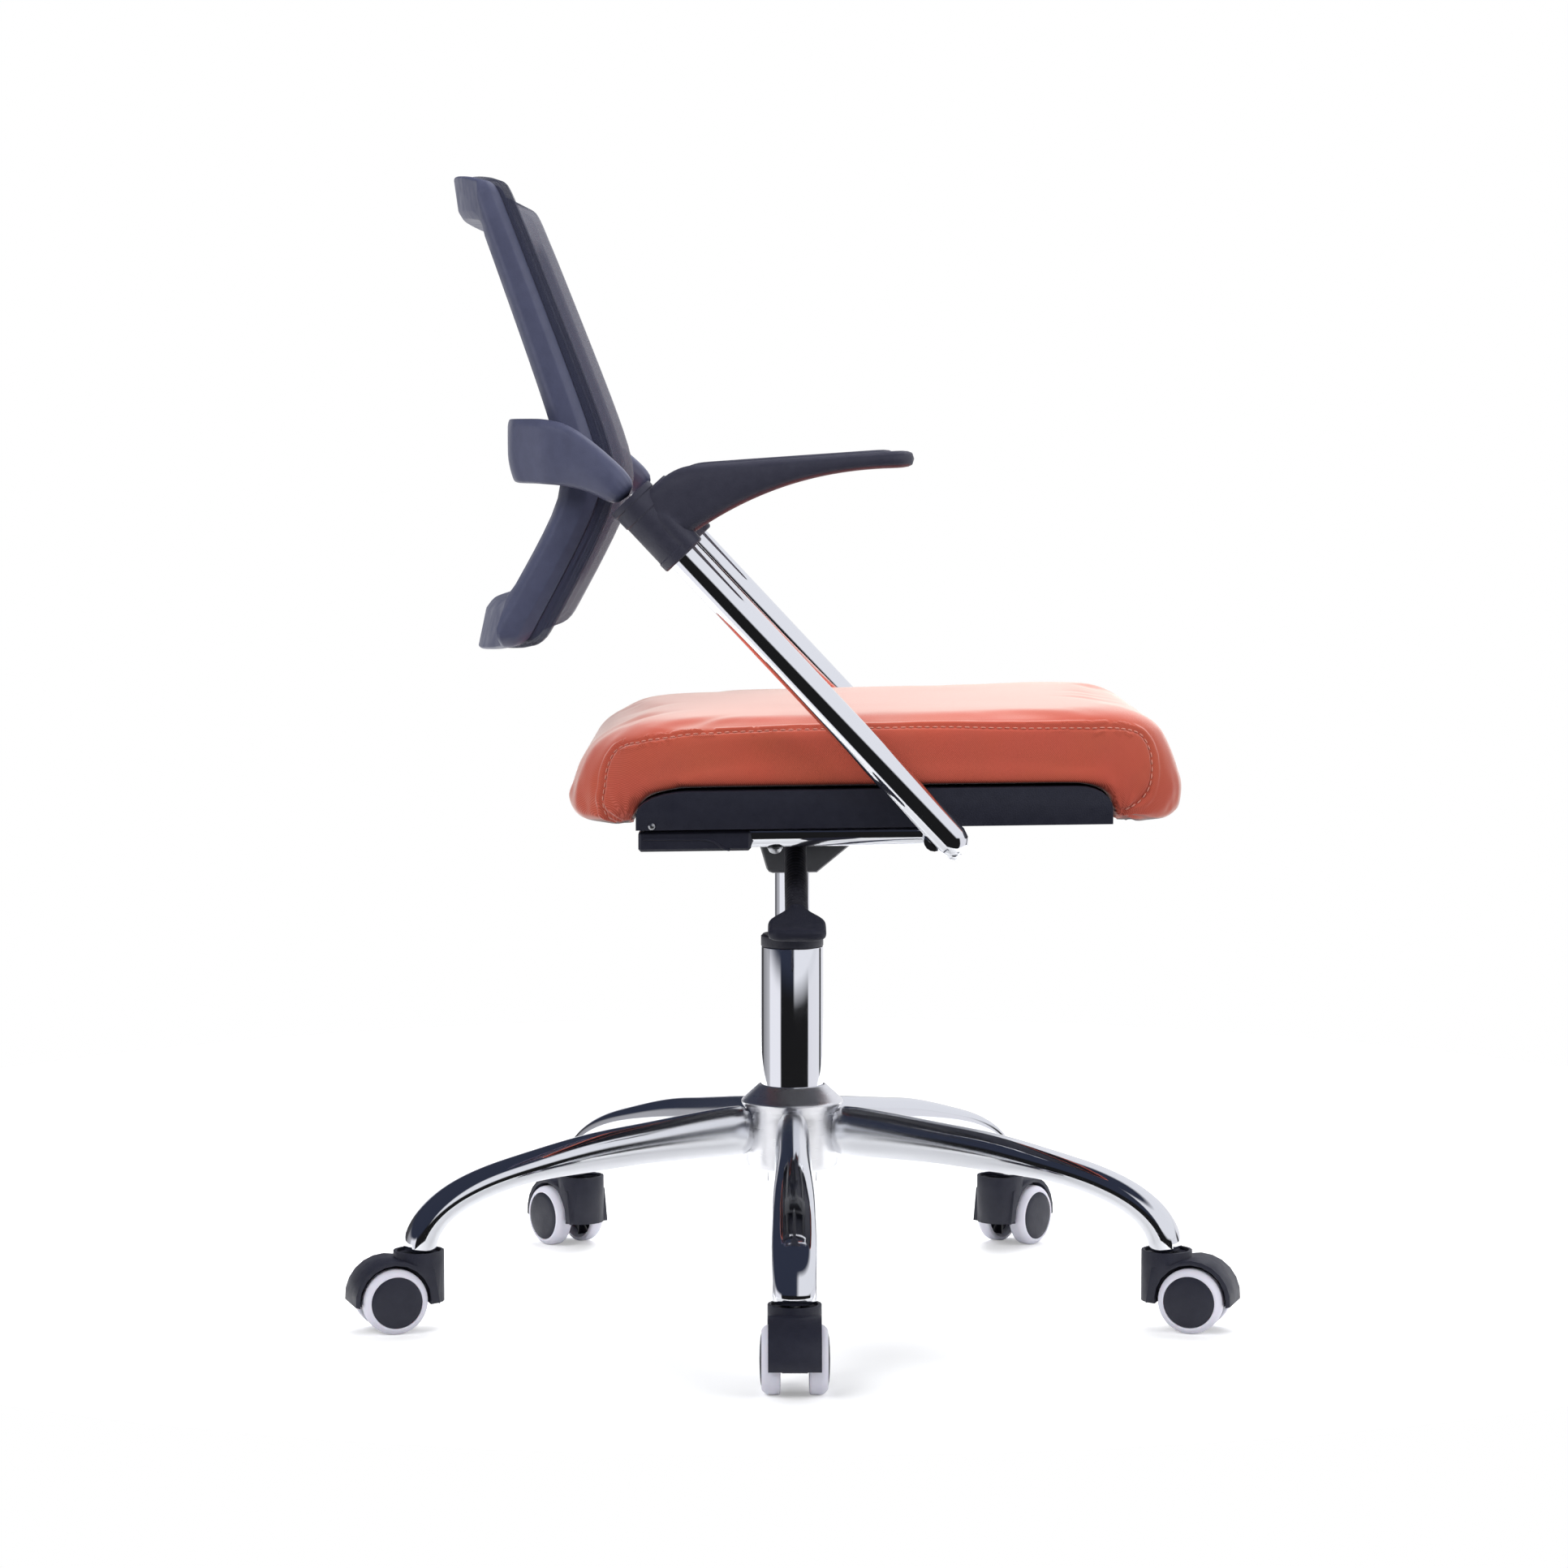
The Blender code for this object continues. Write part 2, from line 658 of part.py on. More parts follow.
# Gas lift
def make_lift():
    flange_low = COLUMN_FOOT + FOOT_PLATE + FIT + BEARING_HEIGHT + FIT
    flange_r = ROD_FLANGE_DIA / 2
    tail_r = ROD_TAIL_DIA / 2
    rod_profile = [
        (0, ROD_TOP),
        (ROD_DIA / 2, ROD_TOP),
        (ROD_DIA / 2, flange_low + ROD_FLANGE),
        (flange_r, flange_low + ROD_FLANGE),
        (flange_r, flange_low),
        (tail_r, flange_low),
        (tail_r, COLUMN_FOOT - 0.003),
        (0, COLUMN_FOOT - 0.003),
    ]
    settle(turned("piston_rod", rod_profile, 20), STEEL, SWIVEL)
    bore = ROD_DIA / 2 + RUN
    pocket = BUTTON_DIA / 2 + RUN
    pocket_floor = CYLINDER_TOP - BUTTON_DEPTH - BUTTON_TRAVEL
    cylinder_profile = [
        (0, pocket_floor),
        (pocket, pocket_floor),
        (pocket, CYLINDER_TOP),
        (CYLINDER_TIP_DIA / 2, CYLINDER_TOP),
        (CYLINDER_R, PAN_BOTTOM - 0.002),
        (CYLINDER_R, CYLINDER_BOTTOM + 0.002),
        (CYLINDER_R - 0.002, CYLINDER_BOTTOM),
        (bore, CYLINDER_BOTTOM),
        (bore, pocket_floor - CYLINDER_END_WALL),
        (0, pocket_floor - CYLINDER_END_WALL),
    ]
    settle(turned("gas_cylinder", cylinder_profile, 24), CHROME, SWIVEL)
    button_r = BUTTON_DIA / 2
    button_profile = [
        (0, CYLINDER_TOP + BUTTON_RISE),
        (0.7 * button_r, CYLINDER_TOP + BUTTON_RISE),
        (button_r, CYLINDER_TOP + BUTTON_RISE - 0.3 * button_r),
        (button_r, CYLINDER_TOP - BUTTON_DEPTH),
        (0, CYLINDER_TOP - BUTTON_DEPTH),
    ]
    settle(turned("release_button", button_profile, 16), STEEL, BUTTON_AXIS)


# Seat frame
def make_lift_plate():
    """A pressed pan: a tapered box round the cylinder's tip, with a flange under the cross tubes."""
    shape = bmesh.new()
    bmesh.ops.create_cube(shape, size=1.0)
    for vertex in shape.verts:
        above = vertex.co.z > 0
        width = PAN_WIDTH if above else PAN_FOOT_WIDTH
        ends = (PAN_REAR, PAN_FRONT) if above else (-PAN_FOOT_LENGTH / 2, PAN_FOOT_LENGTH / 2)
        x = ends[1] if vertex.co.x > 0 else ends[0]
        z = PLATE_TOP - FLANGE_THICKNESS / 2 if above else PAN_BOTTOM
        vertex.co = (x, vertex.co.y * width, z)
    pan = from_bmesh("lift_plate", shape)
    lean(pan)
    soften(pan, 0.004, 2)
    half = FLANGE_WIDTH / 2
    flange_low = PLATE_TOP - FLANGE_THICKNESS
    flange = block("flange", (FLANGE_REAR, -half, flange_low), (FLANGE_FRONT, half, PLATE_TOP))
    lean(flange)
    unite(pan, flange)
    tip, wide = CYLINDER_TIP_DIA / 2 + FIT, CYLINDER_R + FIT
    taper = turned(
        "tip_hole",
        [
            (0, CYLINDER_TOP + FIT),
            (tip, CYLINDER_TOP + FIT),
            (wide, PAN_BOTTOM - 0.002),
            (wide, PAN_BOTTOM - 0.02),
            (0, PAN_BOTTOM - 0.02),
        ],
        32,
    )
    chamber_half = 0.34 * PAN_WIDTH
    chamber_low = CYLINDER_TOP - 0.004
    chamber = block(
        "lever_chamber",
        (0.75 * PAN_REAR, -chamber_half, chamber_low),
        (0.5 * PAN_FRONT, chamber_half, PLATE_TOP + 0.01),
    )
    slot_half = LEVER_ROD_DIA / 2 + 0.001
    slot_low = LEVER_Z - LEVER_ROD_DIA / 2 - FIT
    slot = block(
        "lever_slot",
        (LEVER_X - slot_half, LEVER_PIVOT_Y - 0.006, slot_low),
        (LEVER_X + slot_half, -chamber_half + 0.004, PLATE_TOP + 0.01),
    )
    relief = block(
        "swing_relief",
        (LEVER_X - slot_half, LEVER_PIVOT_Y + 0.003, slot_low - 0.002),
        (LEVER_X + slot_half, -chamber_half + 0.004, PLATE_TOP + 0.01),
    )
    cut(pan, taper, chamber, slot, relief)
    settle(pan, DARK_STEEL, SWIVEL)


def make_cross_tubes():
    reach = RAIL_Y - RAIL_R - FIT
    for name, x in (("cross_tube_rear", CROSS_REAR_X), ("cross_tube_front", CROSS_FRONT_X)):
        bar = rod(name, (x, -reach, RAIL_Z), (x, reach, RAIL_Z), CROSS_DIA / 2, 18)
        bore_r = CROSS_DIA / 2 - RAIL_WALL
        bore = rod(name + "_bore", (x, -reach - 0.01, RAIL_Z), (x, reach + 0.01, RAIL_Z), bore_r, 18)
        lean(bar, bore)
        cut(bar, bore)
        settle(bar, DARK_STEEL, SWIVEL)


def tube_point(distance, side):
    """A point on the slanted tube's axis, measured from its foot."""
    return Vector(
        (
            TUBE_FOOT_X - cos(TUBE_ANGLE) * distance,
            side * TUBE_Y,
            TUBE_FOOT_Z + sin(TUBE_ANGLE) * distance,
        )
    )


def make_rail(hand, side):
    y = side * RAIL_Y
    rail = rod(f"seat_rail_{hand}", (RAIL_REAR, y, RAIL_Z), (RAIL_FRONT, y, RAIL_Z), RAIL_R, 20)
    bore = rod(
        f"rail_bore_{hand}",
        (RAIL_REAR - 0.01, y, RAIL_Z),
        (RAIL_FRONT - STUB_DIA - 0.006, y, RAIL_Z),
        RAIL_R - RAIL_WALL,
        20,
    )
    stub_x, stub_z = RAIL_FRONT - STUB_DIA / 2, RAIL_Z - STUB_DROP
    stub = rod(f"rail_stub_{hand}", (stub_x, y, stub_z), (stub_x, side * TUBE_Y, stub_z), STUB_DIA / 2, 16)
    lean(rail, bore, stub)
    tube_space = rod(
        f"tube_space_{hand}", tube_point(-TUBE_SWEEP, side), tube_point(TUBE_SWEEP, side), TUBE_R + FIT, 24
    )
    unite(rail, stub)
    cut(rail, bore, tube_space)
    settle(rail, CHROME, SWIVEL)


def make_rail_cover(hand, side):
    """A trough under the rear half of the rail, open at the top and closed behind."""
    y = side * RAIL_Y
    half = COVER_WIDTH / 2
    top = SHELL_BOTTOM - FIT - 0.001
    rear = RAIL_REAR - FIT - COVER_WALL
    cover = block(f"rail_cover_{hand}", (rear, y - half, COVER_BOTTOM), (COVER_FRONT, y + half, top))
    channel_start = (RAIL_REAR - FIT, y, RAIL_Z)
    channel_end = (COVER_FRONT + 0.01, y, RAIL_Z)
    channel = rod(f"cover_channel_{hand}", channel_start, channel_end, RAIL_R + FIT, 20)
    saddle = rod(
        f"cover_saddle_{hand}",
        (CROSS_REAR_X, side * (RAIL_Y - COVER_WIDTH), RAIL_Z),
        (CROSS_REAR_X, y, RAIL_Z),
        CROSS_DIA / 2 + FIT,
        18,
    )
    lean(cover, channel, saddle)
    soften(cover, 0.002, 1)
    cut(cover, channel, saddle)
    settle(cover, BLACK_PLASTIC, SWIVEL)


def make_arm_tube(hand, side):
    """A thin tube with a domed foot, turned upright and then laid along its slant."""
    inner = TUBE_R - TUBE_WALL
    floor = TUBE_R + 0.004
    profile = [(0, floor), (inner, floor), (inner, TUBE_LENGTH), (TUBE_R, TUBE_LENGTH)]
    profile += [(TUBE_R * cos(a), -TUBE_R * sin(a)) for a in (0, radians(30), radians(60))]
    profile.append((0, -TUBE_R))
    piece = turned(f"arm_tube_{hand}", profile, 24)
    slant = (tube_point(1, side) - tube_point(0, side)).to_track_quat("Z", "Y")
    settle(piece, CHROME, SWIVEL)
    piece.location = tube_point(0, side)
    piece.rotation_euler = slant.to_euler()


# Armrest
def arm_profile(t):
    """The armrest's top and underside at t, from the heel over the socket to the tip."""
    x = ARM_HEEL_X + (ARM_TIP_X - ARM_HEEL_X) * t
    heel = max(0.0, 1 - t / ARM_HEEL_SHARE)
    top = ARM_HEEL_TOP + (ARM_TIP_TOP - ARM_HEEL_TOP) * t - ARM_HEEL_DROP * heel**2
    on_axis = TUBE_FOOT_Z + (TUBE_FOOT_X - x) * tan(TUBE_ANGLE)
    low = ARM_TIP_TOP - ARM_TIP_HEIGHT - ARM_DEPTH * (1 - t) ** ARM_HOLLOW
    return x, top, max(low, min(on_axis - ARM_EDGE, top - ARM_EDGE))


def make_armrest(hand, side):
    rows = 12
    sections = []
    for row in range(rows + 1):
        t = row / rows
        x, top, low = arm_profile(t)
        if row == rows:
            pinch = 0.55
        elif row == rows - 1:
            pinch = 0.93
        else:
            pinch = 1.0
        half_width = 0.5 * (ARM_HEEL_WIDTH + (ARM_WIDTH - ARM_HEEL_WIDTH) * min(1.0, 1.6 * t)) * pinch
        middle, half_height = (top + low) / 2, (top - low) / 2 * (0.75 if row == rows else 1.0)
        section = []
        for angle in ring(14):
            y = side * TUBE_Y + half_width * power(cos(angle), 0.6)
            section.append((x, y, middle + half_height * power(sin(angle), 0.6)))
        sections.append(section)
    arm = loft(f"armrest_{hand}", sections)
    sleeve_end = SOCKET_START + SOCKET_LENGTH
    sleeve = rod(
        f"sleeve_{hand}", tube_point(SOCKET_START, side), tube_point(sleeve_end, side), SOCKET_DIA / 2, 24
    )
    bore = rod(
        f"sleeve_bore_{hand}",
        tube_point(SOCKET_START - 0.02, side),
        tube_point(sleeve_end + 0.02, side),
        TUBE_R + FIT,
        24,
    )
    soften(sleeve, 0.0015, 1)
    unite(arm, sleeve)
    cut(arm, bore)
    settle(arm, BLACK_PLASTIC, SWIVEL)


# Yoke behind the back
def yoke_stations():
    """Centre, height direction, thickness direction, half height, half thickness and lean of each section."""
    end = tube_point(SOCKET_START + SOCKET_LENGTH + FIT, 1)
    across = Vector((sin(TUBE_ANGLE), 0, cos(TUBE_ANGLE)))
    outward = Vector((0, 1, 0))
    up = Vector((0, 0, 1))
    beam_half = YOKE_BEAM_HEIGHT / 2
    beam_z = PIVOT_Z + YOKE_RISE
    beam_b = YOKE_BEAM_THICKNESS / 2
    arm_b = TUBE_R + 0.001
    arm_y = YOKE_FACE_Y + arm_b
    bend_y = 0.5 * (TUBE_Y + arm_y) + YOKE_SWELL

    def tilted(amount):
        return (up + across * amount).normalized()

    def beam(y):
        bowed = YOKE_BEAM_REAR + YOKE_BEAM_BOW * (y / YOKE_FACE_Y) ** 2
        return Vector((bowed + beam_b, y, beam_z))

    bend = pivot_offset(YOKE_BEND_AHEAD, bend_y, -YOKE_BEND_BELOW)
    neck = pivot_offset(YOKE_NECK_AHEAD, arm_y + YOKE_SWELL, -YOKE_NECK_BELOW)
    cheek = pivot_offset(-YOKE_CHEEK_BEHIND, arm_y - 0.001, YOKE_CHEEK_ABOVE)
    corner = beam(YOKE_FACE_Y) + Vector((YOKE_CORNER, 0.3 * YOKE_CORNER, 0))
    return [
        (end, across, outward, arm_b - 0.0005, arm_b, 0.0),
        (bend, tilted(0.8), outward, YOKE_BEND_HEIGHT / 2, arm_b, 0.0),
        (neck, tilted(0.36), outward, YOKE_NECK_HEIGHT / 2, arm_b, 0.0),
        (cheek, tilted(0.14), outward, YOKE_CHEEK_HEIGHT / 2, arm_b - 0.001, 0.0),
        (corner, up, Vector((-0.55, 0.83, 0)), beam_half, beam_b + 0.0015, 0.002),
        (beam(YOKE_FACE_Y - 0.017), up, Vector((-0.93, 0.36, 0)), beam_half, beam_b, 0.006),
        (beam(YOKE_FACE_Y - 0.050), up, Vector((-0.99, 0.13, 0)), beam_half, beam_b, YOKE_BEAM_LEAN),
        (beam(0.5 * YOKE_FACE_Y), up, Vector((-1, 0.03, 0)), beam_half, beam_b, YOKE_BEAM_LEAN),
        (beam(0), up, Vector((-1, 0, 0)), beam_half, beam_b, YOKE_BEAM_LEAN),
    ]


def pivot_offset(x, y, z):
    return Vector((PIVOT_X + x, y, PIVOT_Z + z))


def make_yoke():
    sections = []
    for number, (centre, high, thick, a, b, wedge) in enumerate(yoke_stations()):
        exponent = 1.0 if number == 0 else 0.6
        section = []
        for angle in ring(16):
            rise = power(sin(angle), exponent)
            side = power(cos(angle), exponent)
            inward = wedge * rise * (1 if side < 0 else 0)
            section.append(centre + high * (a * rise) + thick * (b * side + inward))
        sections.append(section)
    yoke = loft("back_yoke", sections, caps=False)
    shape = bmesh.new()
    shape.from_mesh(yoke.data)
    shape.edges.ensure_lookup_table()
    open_edges = [edge for edge in shape.edges if edge.is_boundary and all(v.co.y > FIT for v in edge.verts)]
    bmesh.ops.holes_fill(shape, edges=open_edges)
    bmesh.ops.recalc_face_normals(shape, faces=shape.faces)
    shape.to_mesh(yoke.data)
    shape.free()
    mirror = yoke.modifiers.new("other_side", "MIRROR")
    mirror.use_axis = (False, True, False)
    mirror.merge_threshold = 0.00005
    rim = SOCKET_START + SOCKET_LENGTH
    for hand, side in HANDS:
        spigot = rod(
            f"spigot_{hand}",
            tube_point(TUBE_LENGTH - YOKE_SPIGOT, side),
            tube_point(rim + 0.004, side),
            TUBE_R - TUBE_WALL - FIT,
            20,
        )
        unite(yoke, spigot)
    for hand, side in HANDS:
        spring_room = SPRING_TURNS * SPRING_PITCH + SPRING_WIRE + 2 * FIT
        pocket_r = SPRING_DIA / 2 + SPRING_WIRE / 2 + FIT
        face = side * YOKE_FACE_Y
        inside = YOKE_FACE_Y - PIVOT_IN_FRAME
        pocket_end = face + side * spring_room
        cut(
            yoke,
            rod(f"boss_space_{hand}", pivot(side * inside), pivot(face), PIVOT_BOSS_DIA / 2 + 0.001, 24),
            rod(f"spring_pocket_{hand}", pivot(side * inside), pivot(pocket_end), pocket_r, 20),
            rod(
                f"pin_hole_{hand}",
                pivot(side * inside),
                pivot(face + side * (PIVOT_IN_YOKE + FIT)),
                PIVOT_DIA / 2 + FIT,
                16,
            ),
        )
    settle(yoke, SLATE_PLASTIC, SWIVEL)


def pivot(y):
    return (PIVOT_X, y, PIVOT_Z)


def make_pivot(hand, side):
    face = side * YOKE_FACE_Y
    pin = rod(
        f"pivot_pin_{hand}",
        pivot(face - side * PIVOT_IN_FRAME),
        pivot(face + side * PIVOT_IN_YOKE),
        PIVOT_DIA / 2,
        16,
    )
    settle(pin, STEEL, SWIVEL)
    first = YOKE_FACE_Y + SPRING_WIRE / 2 + FIT
    points_per_turn = 8
    points = []
    for step in range(SPRING_TURNS * points_per_turn + 1):
        angle = 2 * pi * step / points_per_turn
        y = first + SPRING_PITCH * step / points_per_turn
        points.append(
            (
                PIVOT_X + SPRING_DIA / 2 * cos(angle),
                side * y,
                PIVOT_Z + SPRING_DIA / 2 * sin(angle),
            )
        )
    spring = tube(f"return_spring_{hand}", points, SPRING_WIRE / 2, 1)
    gap = least_gap(points, points_per_turn // 2) - SPRING_WIRE
    print(f"return_spring_{hand}: least gap between its turns {1000 * gap:.2f} mm")
    settle(spring, STEEL, SWIVEL)


def least_gap(points, apart):
    """The least distance between two points of a coil that lie at least so many points apart along it."""
    places = [Vector(point) for point in points]
    pairs = [(a, b) for number, a in enumerate(places) for b in places[number + apart :]]
    return min((a - b).length for a, b in pairs)


# Backrest
def back_surface(y, z):
    """The front of the backrest: two leaning runs that meet in a rounded apex, hollow across its width."""
    rise = z - BACK_APEX_Z
    bow = sqrt(rise * rise + BACK_APEX_BLEND**2) - BACK_APEX_BLEND
    above, below = tan(BACK_LEAN_ABOVE), tan(BACK_LEAN_BELOW)
    set_back = (above + below) / 2 * bow + (above - below) / 2 * rise
    return BACK_APEX_X - set_back - BACK_HOLLOW * (1 - (y / BACK_HALF) ** 2)


def rolled(z):
    """How far the front curls back at the top and bottom edges, on a quarter circle."""
    curl = 0.0
    for over, radius in ((z - BACK_TOP, BACK_ROLL_TOP), (BACK_BOTTOM - z, BACK_ROLL_LOW)):
        share = min(max(1 + over / radius, 0.0), 1.0)
        curl += radius * (1 - sqrt(1 - share * share))
    return curl


def rounded_rectangle(half, low, high, corner):
    """Points and outward directions round a rectangle with rounded corners, seen from the front."""
    centres = [
        (half - corner, high - corner, 0),
        (corner - half, high - corner, 90),
        (corner - half, low + corner, 180),
        (half - corner, low + corner, 270),
    ]
    corner_steps = 4
    runs = [6, 10, 6, 10]
    points = []
    for number, (cy, cz, first) in enumerate(centres):
        for step in range(corner_steps + 1):
            angle = radians(first + 90 * step / corner_steps)
            points.append((cy + corner * cos(angle), cz + corner * sin(angle), cos(angle), sin(angle)))
        following = centres[(number + 1) % 4]
        turn = radians(following[2])
        aim = (following[0] + corner * cos(turn), following[1] + corner * sin(turn))
        start = points[-1]
        for step in range(1, runs[number]):
            share = step / runs[number]
            y = start[0] + (aim[0] - start[0]) * share
            z = start[1] + (aim[1] - start[1]) * share
            points.append((y, z, cos(turn), sin(turn)))
    return points


def frame_stations():
    """The frame's outer edge, paired point by point with its inner edge, and the outward direction."""
    outer = rounded_rectangle(BACK_HALF, BACK_BOTTOM, BACK_TOP, BACK_CORNER)
    low = BACK_BOTTOM + FRAME_WIDTH + FRAME_LOW_EXTRA
    high = BACK_TOP - FRAME_WIDTH - FRAME_TOP_EXTRA
    inner = rounded_rectangle(BACK_HALF - FRAME_WIDTH, low, high, BACK_INNER_CORNER)
    stations = []
    for (y, z, out_y, out_z), (inner_y, inner_z, _, _) in zip(outer, inner):
        straight = max(abs(out_y), abs(out_z)) > 0.999
        if straight and abs(out_y) > abs(out_z):
            z = inner_z
        elif straight:
            y = inner_y
        stations.append(((y, z), (inner_y, inner_z), (out_y, out_z)))
    return stations


def between(outer, inner, share):
    return outer[0] + (inner[0] - outer[0]) * share, outer[1] + (inner[1] - outer[1]) * share


def arched(y, z):
    """The top edge falls towards the corners and the bottom edge rises."""
    side = (y / BACK_HALF) ** 2
    if z > BACK_APEX_Z:
        return z - BACK_ARCH_TOP * side * (z - BACK_APEX_Z) / (BACK_TOP - BACK_APEX_Z)
    return z + BACK_ARCH_LOW * side * (BACK_APEX_Z - z) / (BACK_APEX_Z - BACK_BOTTOM)


def frame_depth(z, out_y):
    """The side rails grow deeper towards the bottom, and the rails across have a depth of their own."""
    side = FRAME_DEPTH_TOP + (FRAME_DEPTH_LOW - FRAME_DEPTH_TOP) * (BACK_TOP - z) / (BACK_TOP - BACK_BOTTOM)
    across = FRAME_DEPTH_HEAD if z > BACK_APEX_Z else FRAME_DEPTH_BASE
    return across + (side - across) * out_y * out_y


def back_point(y, z, depth):
    high = arched(y, z)
    return (back_surface(y, high) + depth, y, high)


def make_back_frame():
    groove_front = -MESH_SETBACK
    groove_rear = groove_front - MESH_THICKNESS - 2 * FIT
    sections = []
    for outer, inner, (out_y, out_z) in frame_stations():
        depth = frame_depth(outer[1], out_y)
        groove = 1 - MESH_GROOVE / hypot(inner[0] - outer[0], inner[1] - outer[1])
        end = out_z * out_z
        crease = CREASE_SHARE + CREASE_TAPER * end
        front = FRONT_SHARE - FRONT_TAPER * end
        band = BAND_SHARE * front / FRONT_SHARE
        shape = [
            (0.0, -(REAR_SHARE - REAR_TAPER * end) * depth),
            (0.0, -crease * depth),
            (band, -BAND_DEPTH * depth - rolled(outer[1])),
            (front, -rolled(between(outer, inner, front)[1])),
            (0.86, 0.0),
            (1.0, -0.5 * MESH_SETBACK),
            (1.0, groove_front),
            (groove, groove_front),
            (groove, groove_rear),
            (1.0, groove_rear),
            (1.0, -(INNER_SHARE + INNER_TAPER * end) * depth),
            (0.80, -depth),
            (0.12, -(1.0 - REAR_TAPER * end) * depth),
        ]
        sections.append([back_point(*between(outer, inner, share), reach) for share, reach in shape])
    frame = loft("back_frame", sections, caps=False, loop=True)
    for hand, side in HANDS:
        inner = side * (BACK_HALF - FRAME_WIDTH + MESH_GROOVE + 0.002)
        face = side * (YOKE_FACE_Y - FIT)
        unite(frame, rod(f"pivot_boss_{hand}", pivot(inner), pivot(face), PIVOT_BOSS_DIA / 2, 24))
    for hand, side in HANDS:
        bore_end = side * (YOKE_FACE_Y - PIVOT_IN_FRAME - RUN)
        pin_end = side * (YOKE_FACE_Y + PIVOT_IN_YOKE)
        cut(frame, rod(f"frame_bore_{hand}", pivot(bore_end), pivot(pin_end), PIVOT_DIA / 2 + RUN, 16))
    settle(frame, SLATE_PLASTIC, BACK_AXIS)


def make_back_mesh():
    """A thin sheet with its edge in the frame's groove."""
    edge = []
    for outer, inner, _ in frame_stations():
        groove = 1 - (MESH_GROOVE - FIT) / hypot(inner[0] - outer[0], inner[1] - outer[1])
        edge.append(between(outer, inner, groove))
    middle = (0.0, (BACK_TOP + BACK_BOTTOM) / 2)
    front = -MESH_SETBACK - FIT
    shares = [0.12, 0.35, 0.58, 0.80, 1.0]
    sections = []
    for depth, order in ((front, shares), (front - MESH_THICKNESS, shares[::-1])):
        for share in order:
            sections.append([back_point(*between(middle, place, share), depth) for place in edge])
    settle(loft("back_mesh", sections), MESH_FABRIC, BACK_AXIS)


# Seat
def shell_outline(grow, bottom):
    """The shell from the side: a long low bun with rounded upper corners."""
    rear, front, top = SHELL_REAR - grow, SHELL_FRONT + grow, SHELL_TOP + grow
    corner_z = SHELL_TOP - SHELL_CURVE_DROP
    steps = 6
    points = [(rear, bottom)]
    for step in range(steps + 1):
        angle = pi / 2 * step / steps
        rise = (SHELL_CURVE_DROP + grow) * sin(angle)
        reach = (SHELL_REAR_CURVE + grow) * cos(angle)
        points.append((SHELL_REAR + SHELL_REAR_CURVE - reach, corner_z + rise))
    for step in range(steps + 1):
        angle = pi / 2 * (1 - step / steps)
        rise = (SHELL_CURVE_DROP + grow) * sin(angle)
        reach = (SHELL_FRONT_CURVE + grow) * cos(angle)
        points.append((SHELL_FRONT - SHELL_FRONT_CURVE + reach, corner_z + rise))
    points.append((front, bottom))
    return points


def make_shell():
    half = SHELL_WIDTH / 2
    shell = prism("seat_shell", shell_outline(0.0, SHELL_BOTTOM), half)
    hollow = prism("shell_hollow", shell_outline(-SHELL_WALL, SHELL_BOTTOM - 0.01), half - SHELL_WALL)
    lean(shell, hollow)
    cut(shell, hollow)
    for name, x in (("rear", RIB_REAR_X), ("front", RIB_FRONT_X)):
        rib = block(
            f"shell_rib_{name}",
            (x - RIB_THICKNESS / 2, -half + SHELL_WALL / 2, RAIL_Z + RAIL_R + FIT),
            (x + RIB_THICKNESS / 2, half - SHELL_WALL / 2, SHELL_TOP - SHELL_WALL / 2),
        )
        lean(rib)
        unite(shell, rib)
    settle(shell, BLACK_PLASTIC, SWIVEL)


def cushion_ring(inset, end_inset, z, roll):
    """One level of the cushion: a rounded rectangle drawn in by its insets, raised towards its front edge."""
    rear, front, half = CUSHION_REAR + end_inset, CUSHION_FRONT - end_inset, CUSHION_WIDTH / 2 - inset
    ahead = CUSHION_FRONT_CORNER - 0.3 * inset
    behind = CUSHION_REAR_CORNER - 0.3 * inset
    corner_steps = 5
    centres = [(front - ahead, half - ahead, 0, ahead), (rear + behind, half - behind, 90, behind)]
    centres += [(rear + behind, behind - half, 180, behind), (front - ahead, ahead - half, 270, ahead)]
    points = []
    for number, (cx, cy, first, corner) in enumerate(centres):
        for step in range(corner_steps + 1):
            angle = radians(first + 90 * step / corner_steps)
            points.append([cx + corner * cos(angle), cy + corner * sin(angle)])
        following = centres[(number + 1) % 4]
        turn = radians(following[2])
        aim = (following[0] + following[3] * cos(turn), following[1] + following[3] * sin(turn))
        start = points[-1]
        for step in range(1, 6):
            points.append(between(start, aim, step / 6))
    level = []
    length = CUSHION_FRONT - CUSHION_REAR
    for x, y in points:
        share = (x - CUSHION_REAR) / length
        level.append((x, y, z + roll * CUSHION_FRONT_ROLL * (share**3 - (1 - share) ** 3)))
    return level


